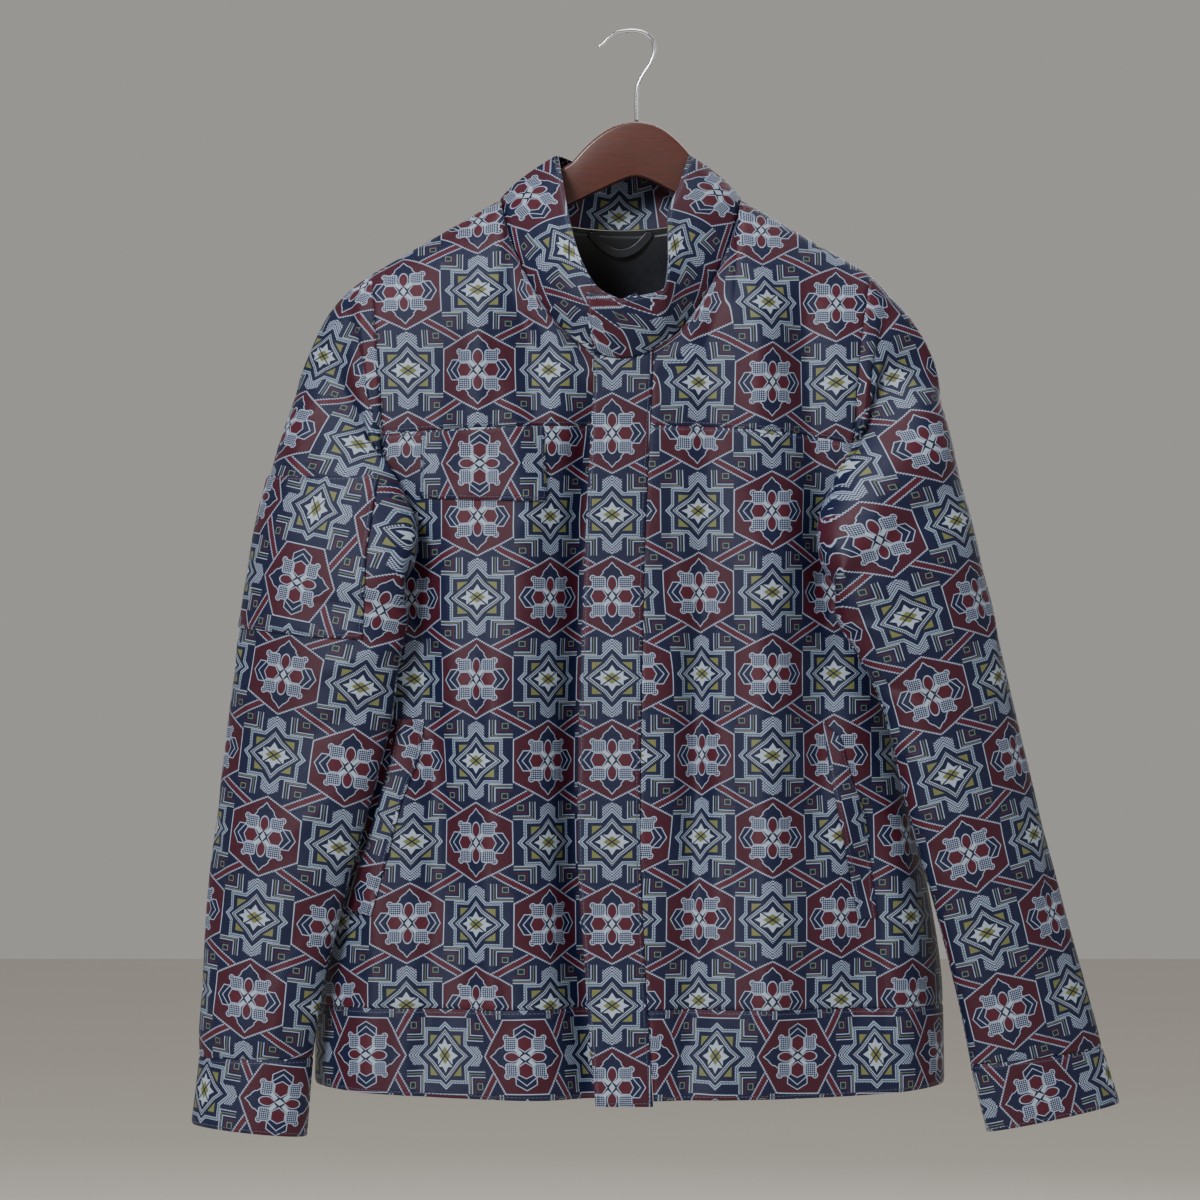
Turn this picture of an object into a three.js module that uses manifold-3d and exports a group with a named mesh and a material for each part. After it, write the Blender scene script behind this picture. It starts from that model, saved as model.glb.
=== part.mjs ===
// A short work jacket with a stand collar, fly front, chest yoke, hem band and cuffs, worn by a wooden
// hanger. Millimetres, +Z up. The origin is the inside top of the hanger's hook, where a rail or a peg
// carries it. +X is the wearer's left side and -Y is the front. Every cloth piece is a wall with its own
// thickness.
import * as THREE from "three";
import { mergeVertices } from "three/addons/utils/BufferGeometryUtils.js";
import Module from "manifold-3d";

// ---- Driving dimensions ----
const CLOTH = 2.0; // shell cloth, two plies at most seams
const FIRM = 2.4; // interfaced pieces: collar, fly, cuffs and hem band
const LINING = 1.0;
const SEAM = 0.3; // gap left between two pieces that are sewn together
const PROUD = 0.35; // gap under a piece that lies on a panel
const NECK_GAP = 0.9; // the collar stands this far off the neckline

const NECK_HALF = 95;
const NECK_Z = -134; // neck point of the shoulder seam
const FRONT_NECK = { drop: 126, depth: 58 };
const BACK_NECK = { drop: 20, depth: 35 };
const NECK_POWER = 1.6; // the neckline first runs forward over the hanger, then drops
const SHOULDER_SLOPE = 0.58;
const YOKE = { z: -312, fallRight: 8, fallLeft: 16 };
const HEM_SEAM_Z = -767;
const HEM_Z = { side: -829, front: -838 };
const FLY_END = 3.06; // v of the fly's lower end, just below the hem
const SECTION_POWER = 0.8; // below 1 flattens the front and rounds the sides
const SHOULDER_EASE = 2.2; // how fast the cloth leaves the hanger below the shoulder seam
const UNDERARM = 1.243; // v of the underarm

// The body by level. v is 0 along the shoulder and neck, 1 at the yoke seam, 2 at the hem seam and 3 at
// the hem. side is how far the side seam lies behind the hanger.
const BODY = [
  { v: 0.0, half: 196, front: 60, back: 46, side: 0, mid: -7 },
  { v: 0.5, half: 189, front: 60, back: 47, side: 1, mid: -9 },
  { v: 1.0, half: 185, front: 60, back: 48, side: 4, mid: -9 },
  { v: 1.243, half: 198, front: 62, back: 50, side: 12, mid: -8 },
  { v: 1.45, half: 213, front: 66, back: 53, side: 14, mid: -6 },
  { v: 1.7, half: 230, front: 70, back: 56, side: 12, mid: -3 },
  { v: 2.0, half: 246, front: 70, back: 57, side: 8, mid: 0 },
  { v: 3.0, half: 247, front: 71, back: 57, side: 6, mid: 0 },
];
const YOKE_THETA = 52;
const FRONT_FLAT = 0.866; // how far round the section its middle part would reach, as a sine
const SIDE_CROWD = (72 * Math.PI) / 180;

// Soft folds of the panels: a line from (x0, z0) to (x1, z1), its half width, and its height, out of the
// cloth if positive.
const FRONT_FOLDS = [
  { x0: -88, z0: -300, x1: -84, z1: -840, wide: 22, high: 7 },
  { x0: -176, z0: -380, x1: -150, z1: -600, wide: 16, high: -9 },
  { x0: -128, z0: -330, x1: -140, z1: -560, wide: 17, high: 5 },
  { x0: -150, z0: -600, x1: -120, z1: -790, wide: 18, high: -5 },
  { x0: -196, z0: -560, x1: -205, z1: -840, wide: 15, high: 5 },
  { x0: 60, z0: -330, x1: 52, z1: -640, wide: 15, high: -6 },
  { x0: 92, z0: -330, x1: 100, z1: -800, wide: 24, high: 5 },
  { x0: 160, z0: -340, x1: 146, z1: -620, wide: 16, high: -8 },
  { x0: 184, z0: -600, x1: 176, z1: -790, wide: 16, high: -6 },
  { x0: 210, z0: -640, x1: 214, z1: -840, wide: 14, high: 4 },
];
const BACK_FOLDS = [
  { x0: -120, z0: -300, x1: -135, z1: -700, wide: 26, high: 7 },
  { x0: -20, z0: -330, x1: -10, z1: -760, wide: 30, high: -6 },
  { x0: 105, z0: -300, x1: 125, z1: -720, wide: 26, high: 7 },
];
const FOLD_FADE = 90; // a fold dies out over this length at each end

// The fly strip's two edges, by height, and the valley in which the wearer's right front runs under it.
const FLY = [
  { z: -250, edge: -27, seam: 19 },
  { z: -430, edge: -36, seam: 11 },
  { z: -630, edge: -41, seam: 8 },
  { z: -740, edge: -35, seam: 12 },
  { z: -840, edge: -27, seam: 18 },
];
const VALLEY = { wide: 34, deep: 17, underFly: 5 };
const UNDERLAP = 5; // the right front stops this far short of the fly's seam

// Free edge of the stand collar, by angle from the centre front (0) to the centre back (180).
const COLLAR_EDGE = [
  { angle: 0, right: 0, left: 0, y: -77, z: -215 },
  { angle: 18, right: 17, left: 33, y: -73, z: -206 },
  { angle: 35, right: 32, left: 36, y: -62, z: -180 },
  { angle: 52, right: 40, left: 36, y: -47, z: -150 },
  { angle: 70, right: 45, left: 46, y: -27, z: -121 },
  { angle: 90, right: 49, left: 53, y: -7, z: -99 },
  { angle: 110, right: 47, left: 50, y: 13, z: -97 },
  { angle: 140, right: 32, left: 33, y: 29, z: -101 },
  { angle: 180, right: 0, left: 0, y: 37, z: -104 },
];
const COLLAR_BULGE = 4;

// The sleeves, ring by ring, from just outside the armhole to the end of the cuff. Each row has the outer
// and the inner line of the flattened tube, as x, y, z, and how far its front (thick) and its back (rear)
// stand off them. puff swells the front by the armhole.
const SLEEVE_RIGHT = [
  { r: 1, xo: -222, yo: 0, zo: -207, xi: -212, yi: 4, zi: -433, thick: 42, rear: 34, puff: 0 },
  { r: 2, xo: -238, yo: 0, zo: -227, xi: -213, yi: -10, zi: -438, thick: 42, rear: 34, puff: 5 },
  { r: 3, xo: -251, yo: -2, zo: -257, xi: -207, yi: -22, zi: -442, thick: 41, rear: 28, puff: 10 },
  { r: 4, xo: -261, yo: -4, zo: -285, xi: -197, yi: -36, zi: -446, thick: 40, rear: 22, puff: 12 },
  { r: 5, xo: -273, yo: -6, zo: -321, xi: -186, yi: -46, zi: -450, thick: 39, rear: 16, puff: 10 },
  { r: 6, xo: -282, yo: -8, zo: -356, xi: -178, yi: -54, zi: -456, thick: 38, rear: 15, puff: 6 },
  { r: 7, xo: -290, yo: -10, zo: -391, xi: -175, yi: -60, zi: -464, thick: 37, rear: 15, puff: 2 },
  { r: 8, xo: -297, yo: -12, zo: -434, xi: -178, yi: -62, zi: -480, thick: 36, rear: 15, puff: 0 },
  { r: 9, xo: -303, yo: -14, zo: -477, xi: -182, yi: -64, zi: -503, thick: 35, rear: 14, puff: 0 },
  { r: 10, xo: -310, yo: -15, zo: -523, xi: -186, yi: -63, zi: -535, thick: 34, rear: 14, puff: 0 },
  { r: 11, xo: -317, yo: -16, zo: -578, xi: -197, yi: -61, zi: -582, thick: 32, rear: 13, puff: 0 },
  { r: 12, xo: -324, yo: -17, zo: -633, xi: -210, yi: -58, zi: -629, thick: 31, rear: 13, puff: 0 },
  { r: 13, xo: -330, yo: -18, zo: -691, xi: -225, yi: -54, zi: -683, thick: 30, rear: 13, puff: 0 },
  { r: 14, xo: -333, yo: -18, zo: -746, xi: -238, yi: -49, zi: -738, thick: 29, rear: 13, puff: 0 },
  { r: 15, xo: -336, yo: -18, zo: -789, xi: -247, yi: -45, zi: -785, thick: 28, rear: 13, puff: 0 },
  { r: 16, xo: -336, yo: -18, zo: -807, xi: -250, yi: -42, zi: -806, thick: 27, rear: 13, puff: 0 },
  { r: 17, xo: -342, yo: -18, zo: -860, xi: -255, yi: -40, zi: -868, thick: 27, rear: 13, puff: 0 },
];
const SLEEVE_LEFT = [
  { r: 1, xo: 206, yo: -1, zo: -211, xi: 199, yi: 2, zi: -434, thick: 43, rear: 34, puff: 0 },
  { r: 2, xo: 222, yo: -4, zo: -230, xi: 200, yi: -12, zi: -438, thick: 44, rear: 33, puff: 4 },
  { r: 3, xo: 233, yo: -6, zo: -252, xi: 194, yi: -25, zi: -443, thick: 44, rear: 27, puff: 9 },
  { r: 4, xo: 241, yo: -7, zo: -279, xi: 183, yi: -38, zi: -448, thick: 42, rear: 21, puff: 12 },
  { r: 5, xo: 249, yo: -7, zo: -313, xi: 170, yi: -48, zi: -453, thick: 40, rear: 16, puff: 11 },
  { r: 6, xo: 257, yo: -8, zo: -350, xi: 163, yi: -55, zi: -458, thick: 38, rear: 15, puff: 6 },
  { r: 7, xo: 267, yo: -10, zo: -391, xi: 164, yi: -64, zi: -466, thick: 37, rear: 15, puff: 2 },
  { r: 8, xo: 276, yo: -12, zo: -436, xi: 173, yi: -64, zi: -481, thick: 35, rear: 15, puff: 0 },
  { r: 9, xo: 287, yo: -13, zo: -484, xi: 186, yi: -63, zi: -504, thick: 33, rear: 14, puff: 0 },
  { r: 10, xo: 299, yo: -14, zo: -535, xi: 199, yi: -60, zi: -533, thick: 31, rear: 14, puff: 0 },
  { r: 11, xo: 313, yo: -15, zo: -590, xi: 211, yi: -56, zi: -581, thick: 28, rear: 13, puff: 0 },
  { r: 12, xo: 326, yo: -15, zo: -640, xi: 224, yi: -52, zi: -633, thick: 26, rear: 13, puff: 0 },
  { r: 13, xo: 340, yo: -15, zo: -693, xi: 238, yi: -47, zi: -681, thick: 24, rear: 13, puff: 0 },
  { r: 14, xo: 354, yo: -14, zo: -742, xi: 251, yi: -42, zi: -730, thick: 22, rear: 13, puff: 0 },
  { r: 15, xo: 366, yo: -13, zo: -785, xi: 263, yi: -37, zi: -781, thick: 21, rear: 13, puff: 0 },
  { r: 16, xo: 370, yo: -13, zo: -801, xi: 269, yi: -34, zi: -812, thick: 20, rear: 13, puff: 0 },
  { r: 17, xo: 384, yo: -12, zo: -845, xi: 282, yi: -32, zi: -865, thick: 19, rear: 13, puff: 0 },
];
const SLEEVE_LAST = 16; // ring of the cuff seam
const SLEEVE_SETTLE = 4.5; // the armhole's own outline has become an oval by this ring
const SLEEVE_CLEAR = 5.5; // between the sleeve's surface and the front's
const COVER_FADE = 8; // just outside the body that rule dies out over this length
const PUFF = { at: 0.36, wide: 0.1, inward: 2.2, forward: 1.3 };

// Outlines of the pieces that lie on the panels, as x and z.
const POCKET_PLY = 2; // thickness of the pieces that lie on a panel
const CHEST_FLAP = [[-163, -318], [-163, -369], [-128, -371], [-90, -372], [-67, -372], [-67, -313]];
const WELT_RIGHT = [
  [-182, -542], [-160, -542], [-166, -574], [-178, -606],
  [-201, -695], [-223, -691], [-204, -640], [-188, -578],
];
const WELT_LEFT = [
  [150, -543], [165, -556], [173, -590], [183, -616], [193, -697], [177, -698], [168, -650], [160, -604],
];
const PATCH = [
  [-340, -350], [-288, -352], [-197, -354], [-200, -385], [-204, -413],
  [-208, -479], [-240, -478], [-301, -471], [-340, -468],
];
const PATCH_ROUND = { back: 0.82, front: 0.46 }; // how far round the sleeve it goes, as shares of the way

// The hanger.
const BOARD = 12; // thickness of the wooden board
const BOARD_ROUND = 5;
const BOARD_SEAT = 1.1; // height of the shoulder seam above the board's top
const BOARD_TIP = { right: -192, left: 178 };
const HUMP = { x: 5.5, top: -70, bendRight: 0.0125, bendLeft: 0.019 };
const BOARD_UNDER = { top: -114, round: 8, fallRight: 0.5, fallLeft: 0.56 };
const WIRE = 1.7; // radius of the hook's wire
const HOOK = [
  { x: 5.5, z: -69.7 },
  { x: 5.5, z: -54 },
  { x: 6.2, z: -43 },
  { x: 10.5, z: -33.5 },
  { x: 16.5, z: -24 },
  { x: 19.6, z: -14 },
  { x: 17.4, z: -4.5 },
  { x: 9.6, z: 0.6 },
  { x: 0, z: 1.7 },
  { x: -9.6, z: 0.2 },
  { x: -16, z: -3.6 },
  { x: -20.5, z: -8 },
  { x: -24.6, z: -11.6 },
];
const LOOP = { half: 24, top: -155.5, sag: 17, wide: 7, thick: 1.2 };

const COLOURS = {
  cloth: 0x2b3350,
  lining: 0x0c0d12,
  wood: 0x6a3222,
  steel: 0xb8bbc0,
};

// ---- Small tools ----
const { sin, cos, sqrt, abs, sign, exp, min, max, PI } = Math;
const RAD = PI / 180;
const mix = (a, b, t) => a + (b - a) * t;
const clamp = (x, low, high) => min(high, max(low, x));
const ease = (t) => t * t * (3 - 2 * t);
const bell = (x) => exp(-x * x);

// A table's column as a smooth function of its first column, with no overshoot between rows.
function curve(table, by, name) {
  const xs = table.map((row) => row[by]);
  const ys = table.map((row) => row[name]);
  const last = xs.length - 1;
  const rise = xs.slice(1).map((x, i) => (ys[i + 1] - ys[i]) / (x - xs[i]));
  const slope = xs.map((_, i) => {
    if (i === 0 || i === last) return rise[i === 0 ? 0 : last - 1];
    const [a, b] = [rise[i - 1], rise[i]];
    return a * b <= 0 ? 0 : (2 * a * b) / (a + b);
  });
  return (x) => {
    const at = clamp(x, min(xs[0], xs[last]), max(xs[0], xs[last]));
    const rising = xs[last] > xs[0];
    let i = 0;
    while (i < last - 1 && (rising ? at > xs[i + 1] : at < xs[i + 1])) i += 1;
    const step = xs[i + 1] - xs[i];
    const t = (at - xs[i]) / step;
    const [t2, t3] = [t * t, t * t * t];
    return (
      (2 * t3 - 3 * t2 + 1) * ys[i] +
      (t3 - 2 * t2 + t) * step * slope[i] +
      (3 * t2 - 2 * t3) * ys[i + 1] +
      (t3 - t2) * step * slope[i + 1]
    );
  };
}
const curves = (table, by) =>
  Object.fromEntries(Object.keys(table[0]).map((name) => [name, curve(table, by, name)]));

// Height of a set of folds at a place on the panel.
function folds(table, x, z) {
  return table.reduce((total, f) => {
    const [dx, dz] = [f.x1 - f.x0, f.z1 - f.z0];
    const long = sqrt(dx * dx + dz * dz);
    const along = ((x - f.x0) * dx + (z - f.z0) * dz) / long;
    const aside = ((x - f.x0) * dz - (z - f.z0) * dx) / long;
    const end = clamp(min(along, long - along) / FOLD_FADE + 0.5, 0, 1);
    return total + f.high * bell(aside / f.wide) * ease(end);
  }, 0);
}

// ---- The body ----
const body = curves(BODY, "v");
const fly = curves(FLY, "z");

// Half angle that the section's edge has reached. It opens to 90 degrees at the underarm, which rounds the
// armhole.
function reach(v) {
  const t = clamp((v - 1) / (UNDERARM - 1), 0, 1);
  return (90 - (90 - YOKE_THETA) * (1 - t * t)) * RAD;
}

// Columns stand closer together towards the sides.
const bodyX = (u, v) => body.mid(v) + (body.half(v) * sin(u * SIDE_CROWD)) / sin(SIDE_CROWD);
function bodyU(x, v) {
  const share = clamp((x - body.mid(v)) / body.half(v), -1, 1);
  return Math.asin(share * sin(SIDE_CROWD)) / SIDE_CROWD;
}
const NECK_U = bodyU(body.mid(0) + NECK_HALF, 0);

// The top edge of the body: the shoulder seam, or the neckline between the neck points.
function topEdge(front, u) {
  const x = bodyX(u, 0) - body.mid(0);
  const neck = front ? FRONT_NECK : BACK_NECK;
  const round = sqrt(max(0, 1 - (x / NECK_HALF) ** 2));
  const z = NECK_Z - SHOULDER_SLOPE * max(0, abs(x) - NECK_HALF) - neck.drop * round ** NECK_POWER;
  return { z, depth: neck.depth * round };
}

function bodyZ(front, u, v) {
  const yoke = YOKE.z - (u > 0 ? YOKE.fallLeft : YOKE.fallRight) * u * u;
  const hem = front ? mix(HEM_Z.front, HEM_Z.side, u * u) : HEM_Z.side;
  if (v <= 1) return mix(topEdge(front, u).z, yoke, v);
  return v <= 2 ? mix(yoke, HEM_SEAM_Z, v - 1) : mix(HEM_SEAM_Z, hem, v - 2);
}

// Distance of the panel from the hanger's middle plane, towards the front or the back.
function bodyDepth(front, u, v) {
  const at = max(v, 1);
  const side = front ? -body.side(at) : body.side(at);
  const full = front ? body.front(at) : body.back(at);
  const share = min(1, abs(bodyX(u, at) - body.mid(at)) / body.half(at));
  const round = share * mix(FRONT_FLAT, sin(reach(at)), share ** 6);
  const section = side + (full - side) * sqrt(max(0, 1 - round * round)) ** SECTION_POWER;
  if (v >= 1) return section;
  const top = topEdge(front, u).depth;
  const fullness = max(0, 1 - (1 - v) ** SHOULDER_EASE);
  return sqrt(top * top + (section * section - top * top) * fullness);
}

// Folds fade out at the neck, shoulders, armholes and side seams.
function bodyFold(front, u, v, x, z) {
  const edge = ease(clamp((1 - abs(u)) / 0.14, 0, 1)) * ease(clamp((v - 0.35) / 0.6, 0, 1));
  return folds(front ? FRONT_FOLDS : BACK_FOLDS, x, z) * edge;
}

// How far the right front sinks below the fly's own surface, to run under it.
function valley(x, z) {
  const edge = fly.edge(z);
  const seam = fly.seam(z);
  const top = ease(clamp((-z - 262) / 90, 0, 1));
  if (x < edge) {
    const rise = bell((x - edge) / VALLEY.wide);
    return VALLEY.underFly * ease(rise) + VALLEY.deep * rise * top;
  }
  const across = clamp((x - edge) / (seam - edge), 0, 1);
  return VALLEY.underFly + VALLEY.deep * (1 - ease(across)) * top;
}

// piece: "right" and "left" fronts, "fly" or "back".
function bodyPoint(piece, u, v) {
  const front = piece !== "back";
  const x = bodyX(u, v);
  const z = bodyZ(front, u, v);
  let depth = bodyDepth(front, u, v) + bodyFold(front, u, v, x, z);
  if (piece === "right") depth -= valley(x, z);
  return new THREE.Vector3(x, front ? -depth : depth, z);
}

// Depth of the front at a place seen from the front.
function frontDepth(x, z) {
  let v = 1;
  for (let pass = 0; pass < 4; pass += 1) {
    const u = bodyU(x, v);
    const [top, yoke] = [topEdge(true, u).z, bodyZ(true, u, 1)];
    v = z > yoke ? max(0, (top - z) / (top - yoke)) : 1 + (yoke - z) / (yoke - HEM_SEAM_Z);
  }
  const u = bodyU(x, v);
  return bodyDepth(true, u, v) + bodyFold(true, u, v, x, z);
}

// ---- The sleeves ----
const YOKE_ROWS = [0, 0.008, 0.025, 0.06, 0.13, 0.25, 0.42, 0.6, 0.8, 1];
const ARM_ROWS = [0.35, 0.62, 0.82, 0.94, 1].map((t) => 1 + t * (UNDERARM - 1));
const LOWER_ROWS = [1.32, 1.41, 1.5, 1.6, 1.7, 1.8, 1.9, 2];
const ARMHOLE_ROWS = [...YOKE_ROWS, ...ARM_ROWS];

// The armhole of one side as a closed ring from the shoulder, down the front and up the back: points, and
// q of each, its share of the way round.
function armhole(u) {
  const down = ARMHOLE_ROWS.map((v) => ({ piece: u < 0 ? "right" : "left", v }));
  const up = ARMHOLE_ROWS.slice(1, -1).map((v) => ({ piece: "back", v }));
  const ring = [...down, ...up.reverse()];
  const points = ring.map(({ piece, v }) => bodyPoint(piece, u, v));
  const steps = points.map((p, i) => p.distanceTo(points[(i + 1) % points.length]));
  const half = down.length - 1;
  const front = steps.slice(0, half).reduce((a, b) => a + b);
  const back = steps.slice(half).reduce((a, b) => a + b);
  let gone = 0;
  const q = steps.map((step, i) => {
    const share = i < half ? (0.5 * gone) / front : 0.5 + (0.5 * (gone - front)) / back;
    gone += step;
    return share;
  });
  return { ring, points, q, u };
}

function sleeve(table, u) {
  const hole = armhole(u);
  const [top, bottom] = [hole.points[0], hole.points[ARMHOLE_ROWS.length - 1]];
  const start = {
    ...{ r: 0, xo: top.x, yo: top.y, zo: top.z, xi: bottom.x, yi: bottom.y, zi: bottom.z },
    ...{ thick: 42, rear: 34, puff: 0 },
  };
  const line = curves([start, ...table], "r");
  const outer = (r) => new THREE.Vector3(line.xo(r), line.yo(r), line.zo(r));
  const inner = (r) => new THREE.Vector3(line.xi(r), line.yi(r), line.zi(r));
  const middle = (r) => outer(r).add(inner(r)).multiplyScalar(0.5);

  // Three directions of a ring: along its width, on down the sleeve, and to the front.
  function axes(r) {
    const wide = outer(r).sub(inner(r)).normalize();
    const on = middle(min(r + 0.5, 17)).sub(middle(max(r - 0.5, 0)));
    on.addScaledVector(wide, -on.dot(wide)).normalize();
    const front = new THREE.Vector3().crossVectors(wide, on).normalize();
    if (front.y > 0) front.negate();
    return { wide, on, front };
  }
  const frame = axes(0);
  const centre = middle(0);
  const half = outer(0).distanceTo(inner(0)) / 2;
  const own = hole.points.map((p) => {
    const from = p.clone().sub(centre);
    return { wide: from.dot(frame.wide) / half, front: from.dot(frame.front), on: from.dot(frame.on) };
  });

  // The armhole's outline at any q, between its points.
  function outline(q) {
    const at = ((q % 1) + 1) % 1;
    let i = hole.q.length - 1;
    while (hole.q[i] > at) i -= 1;
    const next = (i + 1) % own.length;
    const t = (at - hole.q[i]) / ((next === 0 ? 1 : hole.q[next]) - hole.q[i]);
    const part = (name) => mix(own[i][name], own[next][name], t);
    return { wide: part("wide"), front: part("front"), on: part("on") };
  }

  // The sleeve hangs in front of the body where one covers the other.
  function hangInFront(p, q, r) {
    if (q > 0.5 && p.z > bottom.z) return p;
    const v = 1 + (YOKE.z - p.z) / (YOKE.z - HEM_SEAM_Z);
    const beyond = abs(p.x - body.mid(max(v, 0))) - body.half(max(v, 0));
    const cover = ease(clamp(1 - beyond / COVER_FADE, 0, 1));
    const clear = SLEEVE_CLEAR * clamp(r, 0, 1);
    p.y = mix(p.y, min(p.y, -frontDepth(p.x, p.z) - clear), cover);
    return p;
  }

  function point(r, q) {
    const { wide, on, front } = axes(r);
    const was = outline(q);
    const turned = ease(clamp(r / SLEEVE_SETTLE, 0, 1));
    const angle = 2 * PI * q;
    const across = (mix(was.wide, cos(angle), turned) * outer(r).distanceTo(inner(r))) / 2;
    const stand = sin(angle) > 0 ? line.thick(r) : line.rear(r);
    const out = mix(was.front, stand * sin(angle), turned);
    const p = middle(r).addScaledVector(wide, across).addScaledVector(front, out);
    p.addScaledVector(on, was.on * (1 - turned));
    const swell = line.puff(r) * bell((((q % 1) + 1) % 1 - PUFF.at) / PUFF.wide);
    p.x -= sign(u) * swell * PUFF.inward;
    p.y -= swell * PUFF.forward;
    return hangInFront(p, q, r);
  }
  return { point, hole };
}

// ---- Solids from surfaces ----
const STEP = 1e-3;

// Outward normal of surface(a, b), where a runs to the left as seen from outside and b runs down, or the
// opposite of both.
function normalOf(surface, a, b) {
  const da = surface(a + STEP, b).sub(surface(a - STEP, b));
  const db = surface(a, b + STEP).sub(surface(a, b - STEP));
  return da.cross(db).normalize();
}

// A wall over a grid of surface points, lifted off the surface and thick outwards from there. gaps names
// the edges that stand back from a seam. keep limits a point to its own side of a seam. Rings leave out
// the last column and close on the first.
function wall(surface, across, down, thick, options = {}) {
  const { lift = 0, gaps = "", gap = SEAM / 2, outward = 1, ring = false } = options;
  const { keep = (p) => p, normals = () => null } = options;
  const [columns, rows] = [across.length, down.length];
  const at = down.map((b, j) =>
    across.map((a, i) => {
      const normal = (normals(i, j) ?? normalOf(surface, a, b).multiplyScalar(outward)).clone();
      return { place: surface(a, b), normal };
    }),
  );
  const back = (edge, next) => {
    const way = next.place.clone().sub(edge.place);
    return edge.place.clone().addScaledVector(way.normalize(), gap);
  };
  const moved = [];
  for (let i = 0; i < columns; i += 1) {
    if (gaps.includes("top")) moved.push([at[0][i], back(at[0][i], at[1][i])]);
    if (gaps.includes("bottom")) moved.push([at[rows - 1][i], back(at[rows - 1][i], at[rows - 2][i])]);
  }
  moved.forEach(([corner, place]) => corner.place.copy(place));
  if (!ring)
    at.forEach((row) => {
      if (gaps.includes("first")) row[0].place.copy(back(row[0], row[1]));
      if (gaps.includes("last")) row[columns - 1].place.copy(back(row[columns - 1], row[columns - 2]));
    });
  const corners = at.flat();
  const outside = corners.map((c) => keep(c.place.clone().addScaledVector(c.normal, lift + thick)));
  const inside = corners.map((c) => keep(c.place.clone().addScaledVector(c.normal, lift)));
  const points = [...outside, ...inside];
  const under = corners.length;
  const faces = [];
  const quad = (a, b, c, d) => faces.push([a, b, c], [a, c, d]);
  const wide = ring ? columns : columns - 1;
  const id = (i, j) => j * columns + (i % columns);
  for (let j = 0; j < rows - 1; j += 1)
    for (let i = 0; i < wide; i += 1) {
      quad(id(i, j), id(i, j + 1), id(i + 1, j + 1), id(i + 1, j));
      quad(under + id(i, j), under + id(i + 1, j), under + id(i + 1, j + 1), under + id(i, j + 1));
    }
  for (let i = 0; i < wide; i += 1) {
    quad(id(i, 0), id(i + 1, 0), under + id(i + 1, 0), under + id(i, 0));
    quad(id(i + 1, rows - 1), id(i, rows - 1), under + id(i, rows - 1), under + id(i + 1, rows - 1));
  }
  for (let j = 0; j < rows - 1 && !ring; j += 1) {
    quad(id(0, j + 1), id(0, j), under + id(0, j), under + id(0, j + 1));
    quad(id(wide, j), id(wide, j + 1), under + id(wide, j + 1), under + id(wide, j));
  }
  return solid(points, faces);
}

// A closed mesh, turned so that its faces point out.
function solid(points, faces) {
  const volume = faces.reduce((sum, [a, b, c]) => {
    return sum + points[a].dot(new THREE.Vector3().crossVectors(points[b], points[c]));
  }, 0);
  const turned = volume < 0 ? faces.map(([a, b, c]) => [a, c, b]) : faces;
  const geometry = new THREE.BufferGeometry();
  geometry.setAttribute("position", new THREE.Float32BufferAttribute(points.flatMap((p) => p.toArray()), 3));
  geometry.setIndex(turned.flat());
  geometry.computeVertexNormals();
  return geometry;
}

const jacket = new THREE.Group();
function add(name, geometry, colour, roughness = 0.75, metalness = 0) {
  const side = THREE.DoubleSide;
  const material = new THREE.MeshStandardMaterial({ color: colour, roughness, metalness, side });
  const mesh = new THREE.Mesh(geometry, material);
  mesh.name = name;
  jacket.add(mesh);
}
const spread = (from, to, count) => Array.from({ length: count + 1 }, (_, i) => mix(from, to, i / count));

// ---- Seams shared by two pieces ----
// Both pieces lean the same way at a seam, so neither wall runs into the other.
const sum = (...normals) => normals.reduce((total, n) => total.add(n), new THREE.Vector3()).normalize();
const bodySurface = (piece) => (u, v) => bodyPoint(piece, u, v);
const bodyNormal = (piece, u, v) =>
  normalOf(bodySurface(piece), u, v).multiplyScalar(piece === "back" ? 1 : -1);

const SLEEVES = { right: sleeve(SLEEVE_RIGHT, -1), left: sleeve(SLEEVE_LEFT, 1) };
const holeNormals = (side) => {
  const { point, hole } = SLEEVES[side];
  const surface = (q, r) => point(r, q);
  return hole.ring.map(({ piece, v }, i) => {
    const tube = normalOf(surface, hole.q[i], 0.01).multiplyScalar(side === "right" ? -1 : 1);
    return sum(bodyNormal(piece, hole.u, v), tube);
  });
};
const HOLE_NORMALS = { right: holeNormals("right"), left: holeNormals("left") };

// The shared normal at a place on the armhole, for a body piece with its own list of rows.
function holeNormal(piece, side, v) {
  const row = ARMHOLE_ROWS.indexOf(v);
  if (row < 0) return null;
  const count = HOLE_NORMALS[side].length;
  return HOLE_NORMALS[side][piece === "back" && row > 0 ? (count - row) % count : row];
}

// Angle round the neckline in degrees: 0 at the centre front, 90 at the right neck point, 180 at the back,
// 270 at the left.
function neckAngle(piece, u) {
  const share = clamp((bodyX(u, 0) - body.mid(0)) / NECK_HALF, -1, 1);
  const angle = Math.asin(share) / RAD;
  if (piece === "back") return 180 + angle;
  return piece === "right" ? -angle : 360 - angle;
}
const neckPiece = (angle) => (angle <= 90 ? "right" : angle < 270 ? "back" : "left");
function neckU(angle) {
  const piece = neckPiece(angle);
  const x = -NECK_HALF * sin(angle * RAD);
  return bodyU(body.mid(0) + x, 0);
}

// ---- The collar ----
const collarEdge = curves(COLLAR_EDGE, "angle");

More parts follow.
